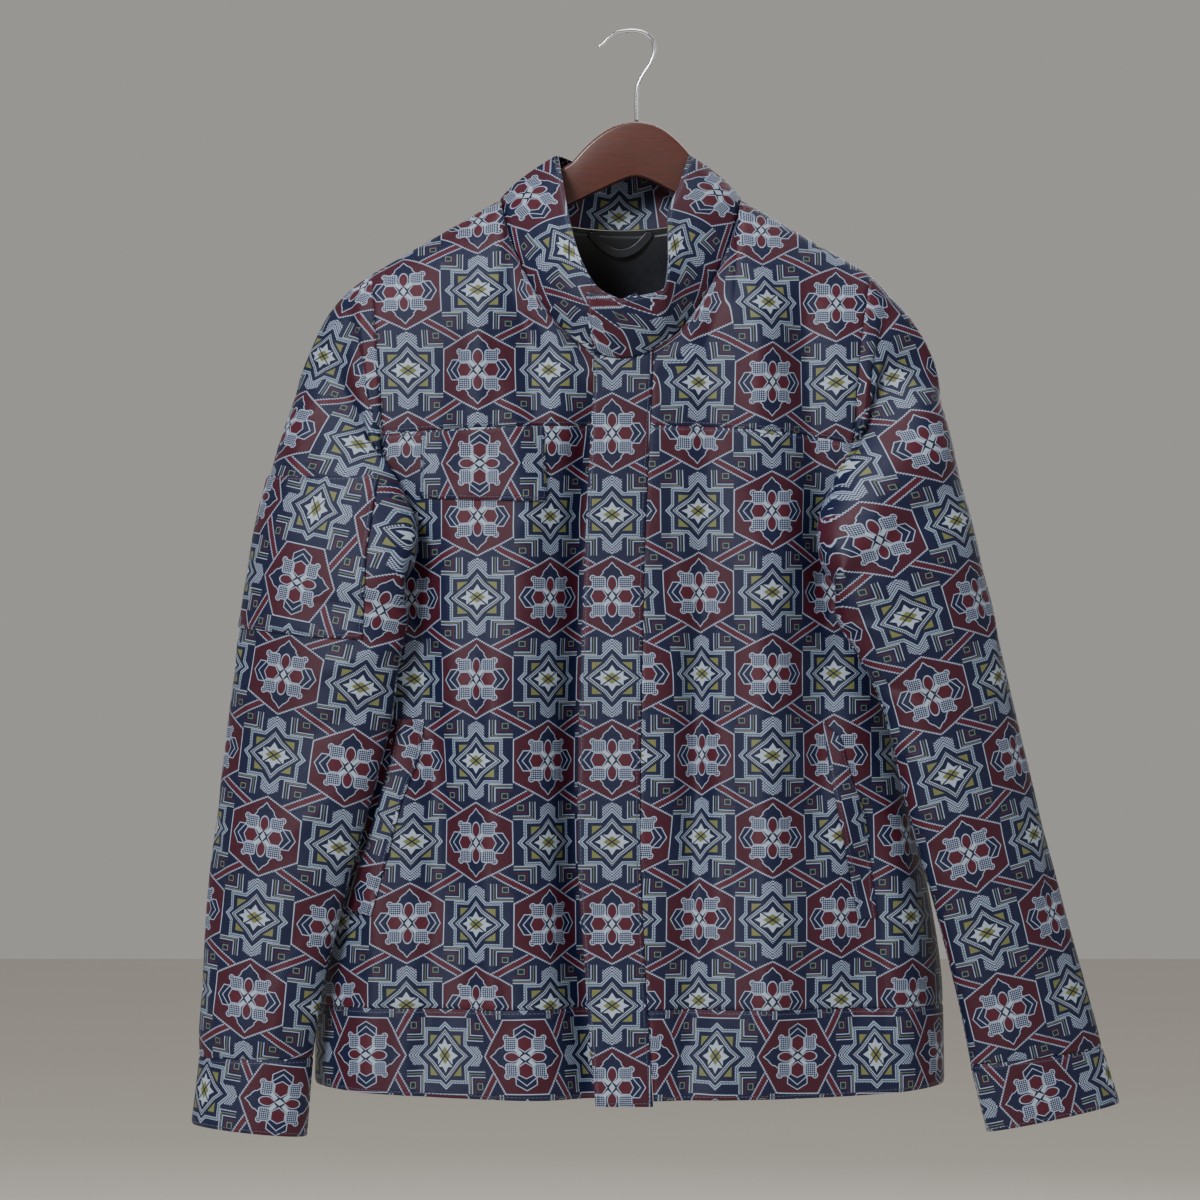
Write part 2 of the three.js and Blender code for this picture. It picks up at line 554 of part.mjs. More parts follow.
// The collar's surface: b is 0 at the free edge and 1 at the neckline.
function collarPoint(angle, b) {
  const right = angle < 180;
  const turn = right ? angle : 360 - angle;
  const reachX = (right ? collarEdge.right : collarEdge.left)(abs(turn)) * sign(turn);
  const u = neckU(angle);
  const low = bodyPoint(neckPiece(angle), u, 0);
  const sunk = neckPiece(angle) === "right" ? valley(low.x, low.z) : 0;
  const high = new THREE.Vector3(
    body.mid(0) + (right ? -reachX : reachX),
    collarEdge.y(abs(turn)) + sunk,
    collarEdge.z(abs(turn)),
  );
  const p = high.lerp(low, b);
  const out = new THREE.Vector3(p.x - body.mid(0), p.y, 0).normalize();
  return p.addScaledVector(out, COLLAR_BULGE * sin(PI * b));
}
function neckNormal(angle) {
  const u = neckU(angle);
  const pieces = NECK_U - abs(u) < 1e-6 ? ["right", "back"] : [neckPiece(angle)];
  return sum(...pieces.map((piece) => bodyNormal(piece, u, 0.01)), normalOf(collarPoint, angle, 0.99));
}

// ---- Fronts, yokes and back ----
// Shares across a front: 0 at its centre edge, 1 at the side. The neck point of the shoulder seam has a
// column.
const NECK_SHARE = 0.5;
const FRONT_COLUMNS = [
  ...[0, 20, 40, 58, 74, 85].map((angle) => NECK_SHARE * sin(angle * RAD)),
  ...spread(NECK_SHARE, 1, 6),
];

// u of a share across a front, whose centre edge follows the fly.
function frontU(piece, share, v) {
  const way = piece === "right" ? -1 : 1;
  const z = bodyZ(true, 0, v);
  const edge = bodyU(piece === "right" ? fly.seam(z) - UNDERLAP : fly.seam(z), v);
  const neck = way * NECK_U;
  if (share <= NECK_SHARE) return mix(edge, neck, share / NECK_SHARE);
  return mix(neck, way, (share - NECK_SHARE) / (1 - NECK_SHARE));
}
const flyU = (share, v) => {
  const z = bodyZ(true, 0, v);
  return bodyU(mix(fly.edge(z), fly.seam(z), share), v);
};

// Keeps a front's points ahead of the side and shoulder seams, and a back's points behind them.
const seamY = (p) => body.side(1 + (YOKE.z - p.z) / (YOKE.z - HEM_SEAM_Z)) * (p.z < YOKE.z ? 1 : 0);
const ahead = (p) => p.setY(min(p.y, seamY(p) - SEAM / 2));
const behind = (p) => p.setY(max(p.y, seamY(p) + SEAM / 2));

// The normals that a body piece shares with its sleeve and with the collar. Below the neckline they turn
// to its own.
const NECK_TURN = 0.13;
function seamNormals(piece, columns, rows, toU) {
  return (i, j) => {
    const v = rows[j];
    const u = toU(columns[i], v);
    if (abs(abs(u) - 1) < 1e-9) return holeNormal(piece, u < 0 ? "right" : "left", v);
    if (v >= NECK_TURN || abs(u) > NECK_U + 1e-9) return null;
    const own = bodyNormal(piece, u, max(v, STEP)).multiplyScalar(v / NECK_TURN);
    return own.addScaledVector(neckNormal(neckAngle(piece, u)), 1 - v / NECK_TURN).normalize();
  };
}

const HEM_ROWS = [2, 2.5, 3];
const FULL_ROWS = [...YOKE_ROWS, ...ARM_ROWS, ...LOWER_ROWS];
const FRONT_ROWS = [1, ...ARM_ROWS, ...LOWER_ROWS];
const frontSurface = (piece) => (share, v) => bodyPoint(piece, frontU(piece, share, v), v);
function frontWall(piece, rows, thick, lift = 0) {
  const normals = seamNormals(piece, FRONT_COLUMNS, rows, (share, v) => frontU(piece, share, v));
  const outward = piece === "right" ? 1 : -1;
  const options = { outward, lift, keep: ahead, normals, gaps: "top bottom first last" };
  return wall(frontSurface(piece), FRONT_COLUMNS, rows, thick, options);
}

function fronts() {
  ["right", "left"].forEach((piece) => {
    add(`front_yoke_${piece}`, frontWall(piece, YOKE_ROWS, CLOTH), COLOURS.cloth);
    add(`front_${piece}`, frontWall(piece, FRONT_ROWS, CLOTH), COLOURS.cloth);
  });
}

const FLY_COLUMNS = spread(0, 1, 3);
function flyStrip() {
  const rows = [...FULL_ROWS, 2.5, FLY_END];
  const surface = (share, v) => bodyPoint("left", flyU(share, v), v);
  const normals = seamNormals("left", FLY_COLUMNS, rows, flyU);
  const options = { outward: -1, normals, gaps: "top last", gap: SEAM };
  add("fly", wall(surface, FLY_COLUMNS, rows, FIRM, options), COLOURS.cloth);
}

const BACK_COLUMNS = [
  ...spread(-1, -NECK_U, 4),
  ...[-84, -62, -36, -12, 12, 36, 62, 84].map((angle) => NECK_U * sin(angle * RAD)),
  ...spread(NECK_U, 1, 4),
];
function back() {
  const surface = bodySurface("back");
  const same = (u) => u;
  const normals = seamNormals("back", BACK_COLUMNS, FULL_ROWS, same);
  const options = { keep: behind, normals, gaps: "top bottom first last" };
  add("back", wall(surface, BACK_COLUMNS, FULL_ROWS, CLOTH, options), COLOURS.cloth);
  const columns = BACK_COLUMNS.slice(1, -1);
  const rows = FULL_ROWS.slice(2, -1);
  const lining = wall(surface, columns, rows, LINING, { lift: -LINING - 2 * PROUD });
  add("back_lining", lining, COLOURS.lining, 0.4);
}

// The hem band runs from under the fly round the right side, the back and the left side to the fly's seam.
function hemBand() {
  const wayRound = [
    ...FRONT_COLUMNS.map((share) => ["right", share]),
    ...BACK_COLUMNS.slice(1, -1).map((u) => ["back", u]),
    ...[...FRONT_COLUMNS].reverse().map((share) => ["left", share]),
  ];
  const at = (piece, c, v) => bodyPoint(piece, piece === "back" ? c : frontU(piece, c, v), v);
  const surface = (i, v) => {
    const k = clamp(Math.floor(i + STEP / 2), 0, wayRound.length - 2);
    const [from, to] = [wayRound[k], wayRound[k + 1]];
    return at(...from, v).lerp(at(...to, v), i - k);
  };
  const columns = wayRound.map((_, i) => i);
  add("hem_band", wall(surface, columns, HEM_ROWS, FIRM, { gaps: "top last" }), COLOURS.cloth);
}

function collar() {
  const byNeck = FRONT_COLUMNS.filter((share) => share <= NECK_SHARE);
  const columns = [
    ...byNeck.map((share) => neckAngle("right", frontU("right", share, 0))),
    ...BACK_COLUMNS.filter((u) => abs(u) < NECK_U - 1e-9).map((u) => neckAngle("back", u)),
    ...[...byNeck].reverse().map((share) => neckAngle("left", frontU("left", share, 0))),
    ...[...FLY_COLUMNS].reverse().slice(1).map((share) => neckAngle("left", flyU(share, 0))),
  ];
  const rows = spread(0, 1, 4);
  const normals = (i, j) => (j === rows.length - 1 ? neckNormal(columns[i]) : null);
  const options = { normals, gaps: "bottom", gap: NECK_GAP };
  add("collar", wall(collarPoint, columns, rows, FIRM, options), COLOURS.cloth);
}

function sleeves() {
  ["right", "left"].forEach((side) => {
    const { point, hole } = SLEEVES[side];
    const surface = (q, r) => point(r, q);
    const outward = side === "right" ? -1 : 1;
    const rows = spread(0, SLEEVE_LAST, SLEEVE_LAST);
    const normals = (i, j) => (j === 0 ? HOLE_NORMALS[side][i] : null);
    const ring = { outward, ring: true };
    const options = { ...ring, normals, gaps: "top bottom" };
    add(`sleeve_${side}`, wall(surface, hole.q, rows, CLOTH, options), COLOURS.cloth);
    const cuffRows = [SLEEVE_LAST, SLEEVE_LAST + 0.5, SLEEVE_LAST + 1];
    add(`cuff_${side}`, wall(surface, hole.q, cuffRows, FIRM, { ...ring, gaps: "top" }), COLOURS.cloth);
  });
}

// ---- Pieces that lie on a panel: the panel's own facets moved out, cut to an outline ----
const wasm = await Module();
wasm.setup();
function manifold(geometry) {
  const bare = geometry.clone();
  bare.deleteAttribute("normal");
  bare.deleteAttribute("uv");
  const merged = mergeVertices(bare);
  return new wasm.Manifold(
    new wasm.Mesh({
      numProp: 3,
      vertProperties: merged.getAttribute("position").array,
      triVerts: new Uint32Array(merged.getIndex().array),
    }),
  );
}
function laid(slab, outline) {
  const shape = new THREE.Shape(outline.map(([x, z]) => new THREE.Vector2(x, z)));
  const prism = new THREE.ExtrudeGeometry(shape, { depth: 400, bevelEnabled: false });
  prism.translate(0, 0, -200).rotateX(PI / 2);
  const mesh = manifold(slab).intersect(manifold(prism)).getMesh();
  const geometry = new THREE.BufferGeometry();
  geometry.setAttribute("position", new THREE.BufferAttribute(mesh.vertProperties, 3));
  geometry.setIndex(new THREE.BufferAttribute(mesh.triVerts, 1));
  geometry.computeVertexNormals();
  return geometry;
}
function trims() {
  const lift = CLOTH + PROUD;
  const right = frontWall("right", FRONT_ROWS, POCKET_PLY, lift);
  const left = frontWall("left", FRONT_ROWS, POCKET_PLY, lift);
  add("chest_flap", laid(right, CHEST_FLAP), COLOURS.cloth);
  add("welt_right", laid(right, WELT_RIGHT), COLOURS.cloth);
  add("welt_left", laid(left, WELT_LEFT), COLOURS.cloth);
  const { point, hole } = SLEEVES.right;
  const behind = hole.q.filter((q) => q > PATCH_ROUND.back).map((q) => q - 1);
  const columns = [...behind, ...hole.q.filter((q) => q < PATCH_ROUND.front)];
  const tube = wall((q, r) => point(r, q), columns, spread(4, 12, 8), POCKET_PLY, { outward: -1, lift });
  add("sleeve_patch", laid(tube, PATCH), COLOURS.cloth);
}

// ---- The hanger, and the loop in the back of the neck ----
const boardTop = (x) => {
  const away = abs(x - body.mid(0)) - NECK_HALF;
  const bend = x < HUMP.x ? HUMP.bendRight : HUMP.bendLeft;
  return max(NECK_Z - BOARD_SEAT - SHOULDER_SLOPE * away, HUMP.top - bend * (x - HUMP.x) ** 2);
};
const boardBottom = (x) => {
  const away = sqrt((x - HUMP.x) ** 2 + BOARD_UNDER.round ** 2) - BOARD_UNDER.round;
  return BOARD_UNDER.top - away * (x < HUMP.x ? BOARD_UNDER.fallRight : BOARD_UNDER.fallLeft);
};
function hanger() {
  const xs = spread(BOARD_TIP.right, BOARD_TIP.left, 36);
  const inner = BOARD_ROUND;
  const inset = (edge, way) => (x) => {
    const slope = (edge(x + 1) - edge(x - 1)) / 2;
    const share = (way * inner) / sqrt(1 + slope * slope);
    return new THREE.Vector2(x + slope * share, edge(x) - share);
  };
  const upper = xs.map(inset(boardTop, 1));
  const lower = [...xs].reverse().map(inset(boardBottom, -1));
  const shape = new THREE.Shape([...upper, ...lower]);
  const round = { bevelThickness: inner, bevelSize: inner, bevelSegments: 3, curveSegments: 1 };
  const board = new THREE.ExtrudeGeometry(shape, { depth: BOARD - 2 * inner, ...round });
  board.translate(0, 0, inner - BOARD / 2).rotateX(PI / 2);
  add("hanger_wood", board, COLOURS.wood, 0.35);
  const stations = HOOK.map(({ x, z }) => new THREE.Vector3(x, 0, z));
  const path = new THREE.CatmullRomCurve3(stations, false, "centripetal");
  const section = new THREE.Shape(
    spread(0, 2 * PI, 10)
      .slice(0, -1)
      .map((angle) => new THREE.Vector2(WIRE * cos(angle), WIRE * sin(angle))),
  );
  const wire = new THREE.ExtrudeGeometry(section, { steps: 40, extrudePath: path });
  add("hanger_hook", wire, COLOURS.steel, 0.25, 1);
}
function neckLoop() {
  const y = bodyPoint("back", bodyU(body.mid(0) + LOOP.half, 0.04), 0.04).y - LINING - 5 * PROUD;
  const sag = (x) => LOOP.top - LOOP.sag * (1 - (x / LOOP.half) ** 2);
  const xs = spread(-LOOP.half, LOOP.half, 12);
  const edge = (x, way) => {
    const slope = (2 * LOOP.sag * x) / LOOP.half ** 2;
    const side = (way * LOOP.wide) / 2 / sqrt(1 + slope * slope);
    return new THREE.Vector2(body.mid(0) + x - side * slope, min(sag(x) + side, LOOP.top));
  };
  const outline = [...xs.map((x) => edge(x, 1)), ...[...xs].reverse().map((x) => edge(x, -1))];
  const shape = new THREE.Shape(outline);
  const ribbon = new THREE.ExtrudeGeometry(shape, { depth: LOOP.thick, bevelEnabled: false });
  ribbon.rotateX(PI / 2).translate(0, y, 0);
  add("neck_loop", ribbon, COLOURS.lining, 0.4);
}

fronts();
flyStrip();
back();
hemBand();
collar();
sleeves();
trims();
hanger();
neckLoop();

export default jacket;
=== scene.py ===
# The looks of the work jacket on its hanger: each sewn piece is a thin shell with folds, seams and stitches.
# Lengths are in millimetres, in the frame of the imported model: +X the wearer's left, -Y the front, +Z up.
import math

import bpy
import numpy as np
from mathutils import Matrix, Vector


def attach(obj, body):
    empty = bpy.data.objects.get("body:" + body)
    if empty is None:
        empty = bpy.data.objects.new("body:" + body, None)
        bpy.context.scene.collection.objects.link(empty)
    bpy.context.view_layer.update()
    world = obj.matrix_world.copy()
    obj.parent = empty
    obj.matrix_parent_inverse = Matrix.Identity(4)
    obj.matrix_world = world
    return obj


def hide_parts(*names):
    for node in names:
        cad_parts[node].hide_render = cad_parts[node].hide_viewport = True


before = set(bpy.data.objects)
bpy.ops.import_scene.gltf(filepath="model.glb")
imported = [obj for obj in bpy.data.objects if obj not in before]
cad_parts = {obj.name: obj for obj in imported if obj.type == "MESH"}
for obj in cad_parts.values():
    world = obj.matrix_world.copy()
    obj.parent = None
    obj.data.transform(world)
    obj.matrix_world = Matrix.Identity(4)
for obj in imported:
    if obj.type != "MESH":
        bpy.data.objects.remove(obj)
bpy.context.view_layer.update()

# ---- Sizes shared with the solids ----
CLOTH = 2.0  # thickness of the panels and sleeves
FIRM = 2.4  # of the collar, cuffs, fly and hem band
LINING = 1.0
POCKET_PLY = 2.0  # of the flap, welts and patch
SEAM = 0.3  # between two pieces
GAP = SEAM / 2
PROUD = 0.35  # under a piece that lies on a panel
NECK_GAP = 0.9
NECK_HALF = 95  # half the width of the neckline
NECK_Z = -134
FRONT_NECK = (126, 58)  # drop and depth of the neckline
BACK_NECK = (20, 35)
NECK_POWER = 1.6
SHOULDER_SLOPE = 0.58
SHOULDER_EASE = 2.2
YOKE_Z = -312
YOKE_FALL = {"right": 8, "left": 16}  # drop of the yoke seam towards the side
HEM_SEAM_Z = -767
HEM_SIDE_Z = -829
HEM_FRONT_Z = -838
FLY_END = 3.06
SECTION_POWER = 0.8
UNDERARM = 1.243
YOKE_THETA = 52  # degrees round the section from the middle of the front to the armhole, at the yoke seam
FRONT_FLAT = 0.866
SIDE_CROWD = math.radians(72)  # how much closer a panel's columns come towards its sides
FOLD_FADE = 90
VALLEY_WIDE = 24  # of the dip in the right front, along the fly's edge
VALLEY_DEEP = 21
VALLEY_UNDER = 5
VALLEY_START = -262
VALLEY_GROWS = 90
UNDERLAP = 5
COLLAR_BULGE = 4
NECK_SHARE = 0.5  # share of a front's columns that end at the neckline
NECK_TURN = 0.13  # share of the yoke's height over which it turns up into the collar
SLEEVE_LAST = 16  # ring of the sleeve where the cuff begins
SLEEVE_SETTLE = 4.5  # rings over which the armhole's outline turns into an oval
SLEEVE_CLEAR = 5.5
COVER_FADE = 8
CAP = (42, 34, 0)  # thick, rear and puff of the sleeves at the armhole
PUFF_AT = 0.36
PUFF_WIDE = 0.1
PUFF_INWARD = 2.2
PUFF_FORWARD = 1.3
STEP = 1e-3  # of the slopes that normals are taken from

# Where folds and creases begin, as shares of the yoke's height, and how far they take to grow.
FOLD_START = 0.35
FOLD_GROWS = 0.6
CREASE_START = 0.12
CREASE_GROWS = 0.3
SIDE_CALM = 0.14  # share of a panel beside its side seam where they fade


def curve(xs, ys):
    """A smooth function through a table's rows, with no overshoot between them."""
    xs, ys = np.asarray(xs, float), np.asarray(ys, float)
    if xs[0] > xs[-1]:
        xs, ys = xs[::-1], ys[::-1]
    step = np.diff(xs)
    rise = np.diff(ys) / step
    slope = np.empty_like(ys)
    slope[0], slope[-1] = rise[0], rise[-1]
    both = rise[:-1] * rise[1:]
    total = np.where(both > 0, rise[:-1] + rise[1:], 1)
    slope[1:-1] = np.where(both > 0, 2 * both / total, 0)

    def at(x):
        x = np.clip(x, xs[0], xs[-1])
        i = np.clip(np.searchsorted(xs, x, side="right") - 1, 0, len(xs) - 2)
        t = (x - xs[i]) / step[i]
        t2, t3 = t * t, t * t * t
        return (
            (2 * t3 - 3 * t2 + 1) * ys[i]
            + (t3 - 2 * t2 + t) * step[i] * slope[i]
            + (3 * t2 - 2 * t3) * ys[i + 1]
            + (t3 - t2) * step[i] * slope[i + 1]
        )

    return at


def columns(names, rows):
    """Each named column of a table as a function of its first column."""
    table = np.array(rows, float)
    return {name: curve(table[:, 0], table[:, i]) for i, name in enumerate(names.split())}


BODY = columns("v half front back side mid", [
    (0.0, 196, 60, 46, 0, -7),
    (0.5, 189, 60, 47, 1, -9),
    (1.0, 185, 60, 48, 4, -9),
    (1.243, 198, 62, 50, 12, -8),
    (1.45, 213, 66, 53, 14, -6),
    (1.7, 230, 70, 56, 12, -3),
    (2.0, 246, 70, 57, 8, 0),
    (3.0, 247, 71, 57, 6, 0),
])
FLY = columns("z edge seam", [
    (-250, -27, 19), (-430, -36, 11), (-630, -41, 8), (-740, -35, 12), (-840, -27, 18),
])
COLLAR_EDGE = columns("angle right left y z", [
    (0, 0, 0, -77, -215),
    (18, 17, 33, -73, -206),
    (35, 32, 36, -62, -180),
    (52, 40, 36, -47, -150),
    (70, 45, 46, -27, -121),
    (90, 49, 53, -7, -99),
    (110, 47, 50, 13, -97),
    (140, 32, 33, 29, -101),
    (180, 0, 0, 37, -104),
])

# Folds: a line from (x0, z0) to (x1, z1), its half width, and its height, out of the cloth if positive.
FRONT_FOLDS = [
    (-88, -300, -84, -840, 22, 7),
    (-176, -380, -150, -600, 16, -9),
    (-128, -330, -140, -560, 17, 5),
    (-150, -600, -120, -790, 18, -5),
    (-196, -560, -205, -840, 15, 5),
    (60, -330, 52, -640, 15, -6),
    (92, -330, 100, -800, 24, 5),
    (160, -340, 146, -620, 16, -8),
    (184, -600, 176, -790, 16, -6),
    (210, -640, 214, -840, 14, 4),
]
BACK_FOLDS = [
    (-120, -300, -135, -700, 26, 7),
    (-20, -330, -10, -760, 30, -6),
    (105, -300, 125, -720, 26, 7),
]
# Smaller creases that only the surface shows.
FRONT_CREASES = [
    (52, -470, 46, -830, 15, -11),
    (106, -400, 112, -800, 17, 9),
    (-106, -470, -112, -800, 17, 8),
    (-150, -560, -160, -820, 13, -6),
    (-82, -170, -72, -340, 14, -9),
    (-120, -185, -122, -330, 15, 7),
    (98, -180, 106, -330, 15, 7),
    (135, -210, 148, -430, 14, -10),
    (62, -200, 58, -320, 12, -4),
    (-160, -240, -150, -330, 12, -4),
    (-60, -330, -72, -520, 7, -1.6),
    (-112, -400, -104, -640, 9, 1.7),
    (-150, -420, -168, -560, 6, -1.8),
    (-186, -400, -160, -455, 5, 1.5),
    (-182, -440, -150, -500, 5, -1.3),
    (-60, -560, -66, -760, 8, 1.5),
    (-104, -640, -96, -790, 7, -1.6),
    (-160, -700, -176, -830, 7, 1.5),
    (-214, -660, -206, -760, 6, -1.4),
    (-40, -360, -96, -398, 6, 1.0),
    (34, -330, 30, -480, 7, -1.4),
    (74, -440, 82, -700, 8, -1.7),
    (118, -350, 122, -560, 8, 1.7),
    (136, -560, 128, -790, 8, 1.6),
    (168, -400, 128, -470, 5, -1.3),
    (170, -450, 140, -505, 5, 1.2),
    (196, -680, 202, -820, 6, -1.5),
    (226, -640, 222, -760, 5, 1.2),
    (40, -640, 46, -790, 8, 1.4),
    (-140, -215, -90, -300, 11, 1.3),
    (120, -220, 86, -300, 11, 1.3),
    (-120, -760, -60, -785, 6, 0.9),
    (90, -772, 150, -790, 6, -0.9),
]
BACK_CREASES = [
    (-160, -330, -110, -420, 9, -1.8),
    (150, -330, 96, -430, 9, -1.8),
    (-70, -360, -78, -700, 10, 1.6),
    (50, -340, 64, -690, 11, 1.8),
    (-176, -480, -160, -740, 8, -1.6),
    (170, -470, 160, -760, 8, 1.6),
    (-40, -600, -30, -790, 8, -1.4),
    (90, -620, 84, -800, 8, -1.5),
    (-200, -640, -206, -800, 7, 1.4),
    (204, -620, 208, -790, 7, -1.4),
    (-60, -220, 0, -250, 12, -1.2),
    (70, -225, 14, -262, 12, 1.2),
]


def ease(t):
    t = np.clip(t, 0, 1)
    return t * t * (3 - 2 * t)


def bell(x):
    return np.exp(-x * x)


def mix(a, b, t):
    return a + (b - a) * t


def folds(table, x, z):
    """Height of a set of folds at a place."""
    total = np.zeros(np.broadcast(x, z).shape)
    for x0, z0, x1, z1, wide, high in table:
        dx, dz = x1 - x0, z1 - z0
        long = math.hypot(dx, dz)
        along = ((x - x0) * dx + (z - z0) * dz) / long
        aside = ((x - x0) * dz - (z - z0) * dx) / long
        fade = min(FOLD_FADE, 0.9 * long)
        end = np.clip(np.minimum(along, long - along) / fade + 0.5, 0, 1)
        total += high * bell(aside / wide) * ease(end)
    return total


def stack(x, y, z):
    return np.stack(np.broadcast_arrays(x, y, z), axis=-1).astype(float)


def unit(a):
    return a / np.maximum(np.linalg.norm(a, axis=-1, keepdims=True), 1e-9)


def normal_of(surface, a, b):
    da = surface(a + STEP, b) - surface(a - STEP, b)
    db = surface(a, b + STEP) - surface(a, b - STEP)
    return unit(np.cross(da, db))


# ---- The body ----
def reach(v):
    """Angle round the section, from the middle of the front, that the panel reaches at a height."""
    t = np.clip((v - 1) / (UNDERARM - 1), 0, 1)
    return np.radians(90 - (90 - YOKE_THETA) * (1 - t * t))


def body_x(u, v):
    """A place's x. u is -1 at the right side and 1 at the left. v is 1 at the yoke and 2 at the band."""
    return BODY["mid"](v) + BODY["half"](v) * np.sin(u * SIDE_CROWD) / math.sin(SIDE_CROWD)


def body_u(x, v):
    share = np.clip((x - BODY["mid"](v)) / BODY["half"](v), -1, 1)
    return np.arcsin(share * math.sin(SIDE_CROWD)) / SIDE_CROWD


MID_TOP = float(BODY["mid"](0.0))
NECK_U = float(body_u(MID_TOP + NECK_HALF, 0.0))


def top_edge(front, u):
    """Height and depth of the top of a panel: the shoulder, and the neckline between."""
    x = body_x(u, 0.0) - MID_TOP
    drop, depth = FRONT_NECK if front else BACK_NECK
    round_ = np.sqrt(np.maximum(0, 1 - (x / NECK_HALF) ** 2))
    z = NECK_Z - SHOULDER_SLOPE * np.maximum(0, np.abs(x) - NECK_HALF) - drop * round_**NECK_POWER
    return z, depth * round_


def body_z(front, u, v):
    yoke = YOKE_Z - np.where(u > 0, YOKE_FALL["left"], YOKE_FALL["right"]) * u * u
    hem = mix(HEM_FRONT_Z, HEM_SIDE_Z, u * u) if front else HEM_SIDE_Z
    upper = mix(top_edge(front, u)[0], yoke, v)
    lower = mix(yoke, HEM_SEAM_Z, v - 1)
    band = mix(HEM_SEAM_Z, hem, v - 2)
    return np.where(v <= 1, upper, np.where(v <= 2, lower, band))


def body_depth(front, u, v):
    at = np.maximum(v, 1)
    side = BODY["side"](at) * (-1 if front else 1)
    full = BODY["front" if front else "back"](at)
    share = np.minimum(1, np.abs(body_x(u, at) - BODY["mid"](at)) / BODY["half"](at))
    round_ = share * mix(FRONT_FLAT, np.sin(reach(at)), share**6)
    section = side + (full - side) * np.sqrt(np.maximum(0, 1 - round_**2)) ** SECTION_POWER
    top = top_edge(front, u)[1]
    fullness = np.maximum(0, 1 - np.maximum(0, 1 - v) ** SHOULDER_EASE)
    upper = np.sqrt(np.maximum(0, top**2 + (section**2 - top**2) * fullness))
    return np.where(v >= 1, section, upper)


def body_fold(front, u, v, x, z, fine):
    side = ease((1 - np.abs(u)) / SIDE_CALM)
    height = folds(FRONT_FOLDS if front else BACK_FOLDS, x, z) * side * ease((v - FOLD_START) / FOLD_GROWS)
    if fine:
        creases = folds(FRONT_CREASES if front else BACK_CREASES, x, z)
        height = height + creases * side * ease((v - CREASE_START) / CREASE_GROWS)
    return height


def valley(x, z):
    """How far the right front sinks below the fly's own surface, to run under it."""
    edge, seam = FLY["edge"](z), FLY["seam"](z)
    top = ease((VALLEY_START - z) / VALLEY_GROWS)
    rise = bell((x - edge) / VALLEY_WIDE)
    beside = VALLEY_UNDER * ease(rise) + VALLEY_DEEP * rise * top
    across = ease((x - edge) / (seam - edge))
    return np.where(x < edge, beside, VALLEY_UNDER + VALLEY_DEEP * (1 - across) * top)


def body_point(piece, u, v, fine=True):
    """The body's surface. Creases are in it only if fine."""
    u, v = np.broadcast_arrays(np.asarray(u, float), np.asarray(v, float))
    front = piece != "back"
    x, z = body_x(u, v), body_z(front, u, v)
    depth = body_depth(front, u, v) + body_fold(front, u, v, x, z, fine)
    if piece == "right":
        depth = depth - valley(x, z)
    return stack(x, -depth if front else depth, z)


def below_yoke(z):
    """The row v at a height below the yoke seam, carried on in a straight line above it."""
    return np.maximum(1 + (YOKE_Z - z) / (YOKE_Z - HEM_SEAM_Z), 0)


def front_depth(x, z, fine=False):
    """How far the front stands out at x and z. The rows of the panel slope, so v is found step by step."""
    v = np.ones(np.broadcast(x, z).shape)
    for _ in range(4):
        u = body_u(x, v)
        top, yoke = top_edge(True, u)[0], body_z(True, u, 1.0)
        v = np.where(z > yoke, np.maximum(0, (top - z) / (top - yoke)), 1 + (yoke - z) / (yoke - HEM_SEAM_Z))
    u = body_u(x, v)
    return body_depth(True, u, v) + body_fold(True, u, v, x, z, fine)


# ---- The sleeves ----
SLEEVE_NAMES = "r xo yo zo xi yi zi thick rear puff"
SLEEVE_RIGHT = [
    (1, -222, 0, -207, -212, 4, -433, 42, 34, 0),
    (2, -238, 0, -227, -213, -10, -438, 42, 34, 5),
    (3, -251, -2, -257, -207, -22, -442, 41, 28, 10),
    (4, -261, -4, -285, -197, -36, -446, 40, 22, 12),
    (5, -273, -6, -321, -186, -46, -450, 39, 16, 10),
    (6, -282, -8, -356, -178, -54, -456, 38, 15, 6),
    (7, -290, -10, -391, -175, -60, -464, 37, 15, 2),
    (8, -297, -12, -434, -178, -62, -480, 36, 15, 0),
    (9, -303, -14, -477, -182, -64, -503, 35, 14, 0),
    (10, -310, -15, -523, -186, -63, -535, 34, 14, 0),
    (11, -317, -16, -578, -197, -61, -582, 32, 13, 0),
    (12, -324, -17, -633, -210, -58, -629, 31, 13, 0),
    (13, -330, -18, -691, -225, -54, -683, 30, 13, 0),
    (14, -333, -18, -746, -238, -49, -738, 29, 13, 0),
    (15, -336, -18, -789, -247, -45, -785, 28, 13, 0),
    (16, -336, -18, -807, -250, -42, -806, 27, 13, 0),
    (17, -342, -18, -860, -255, -40, -868, 27, 13, 0),
]
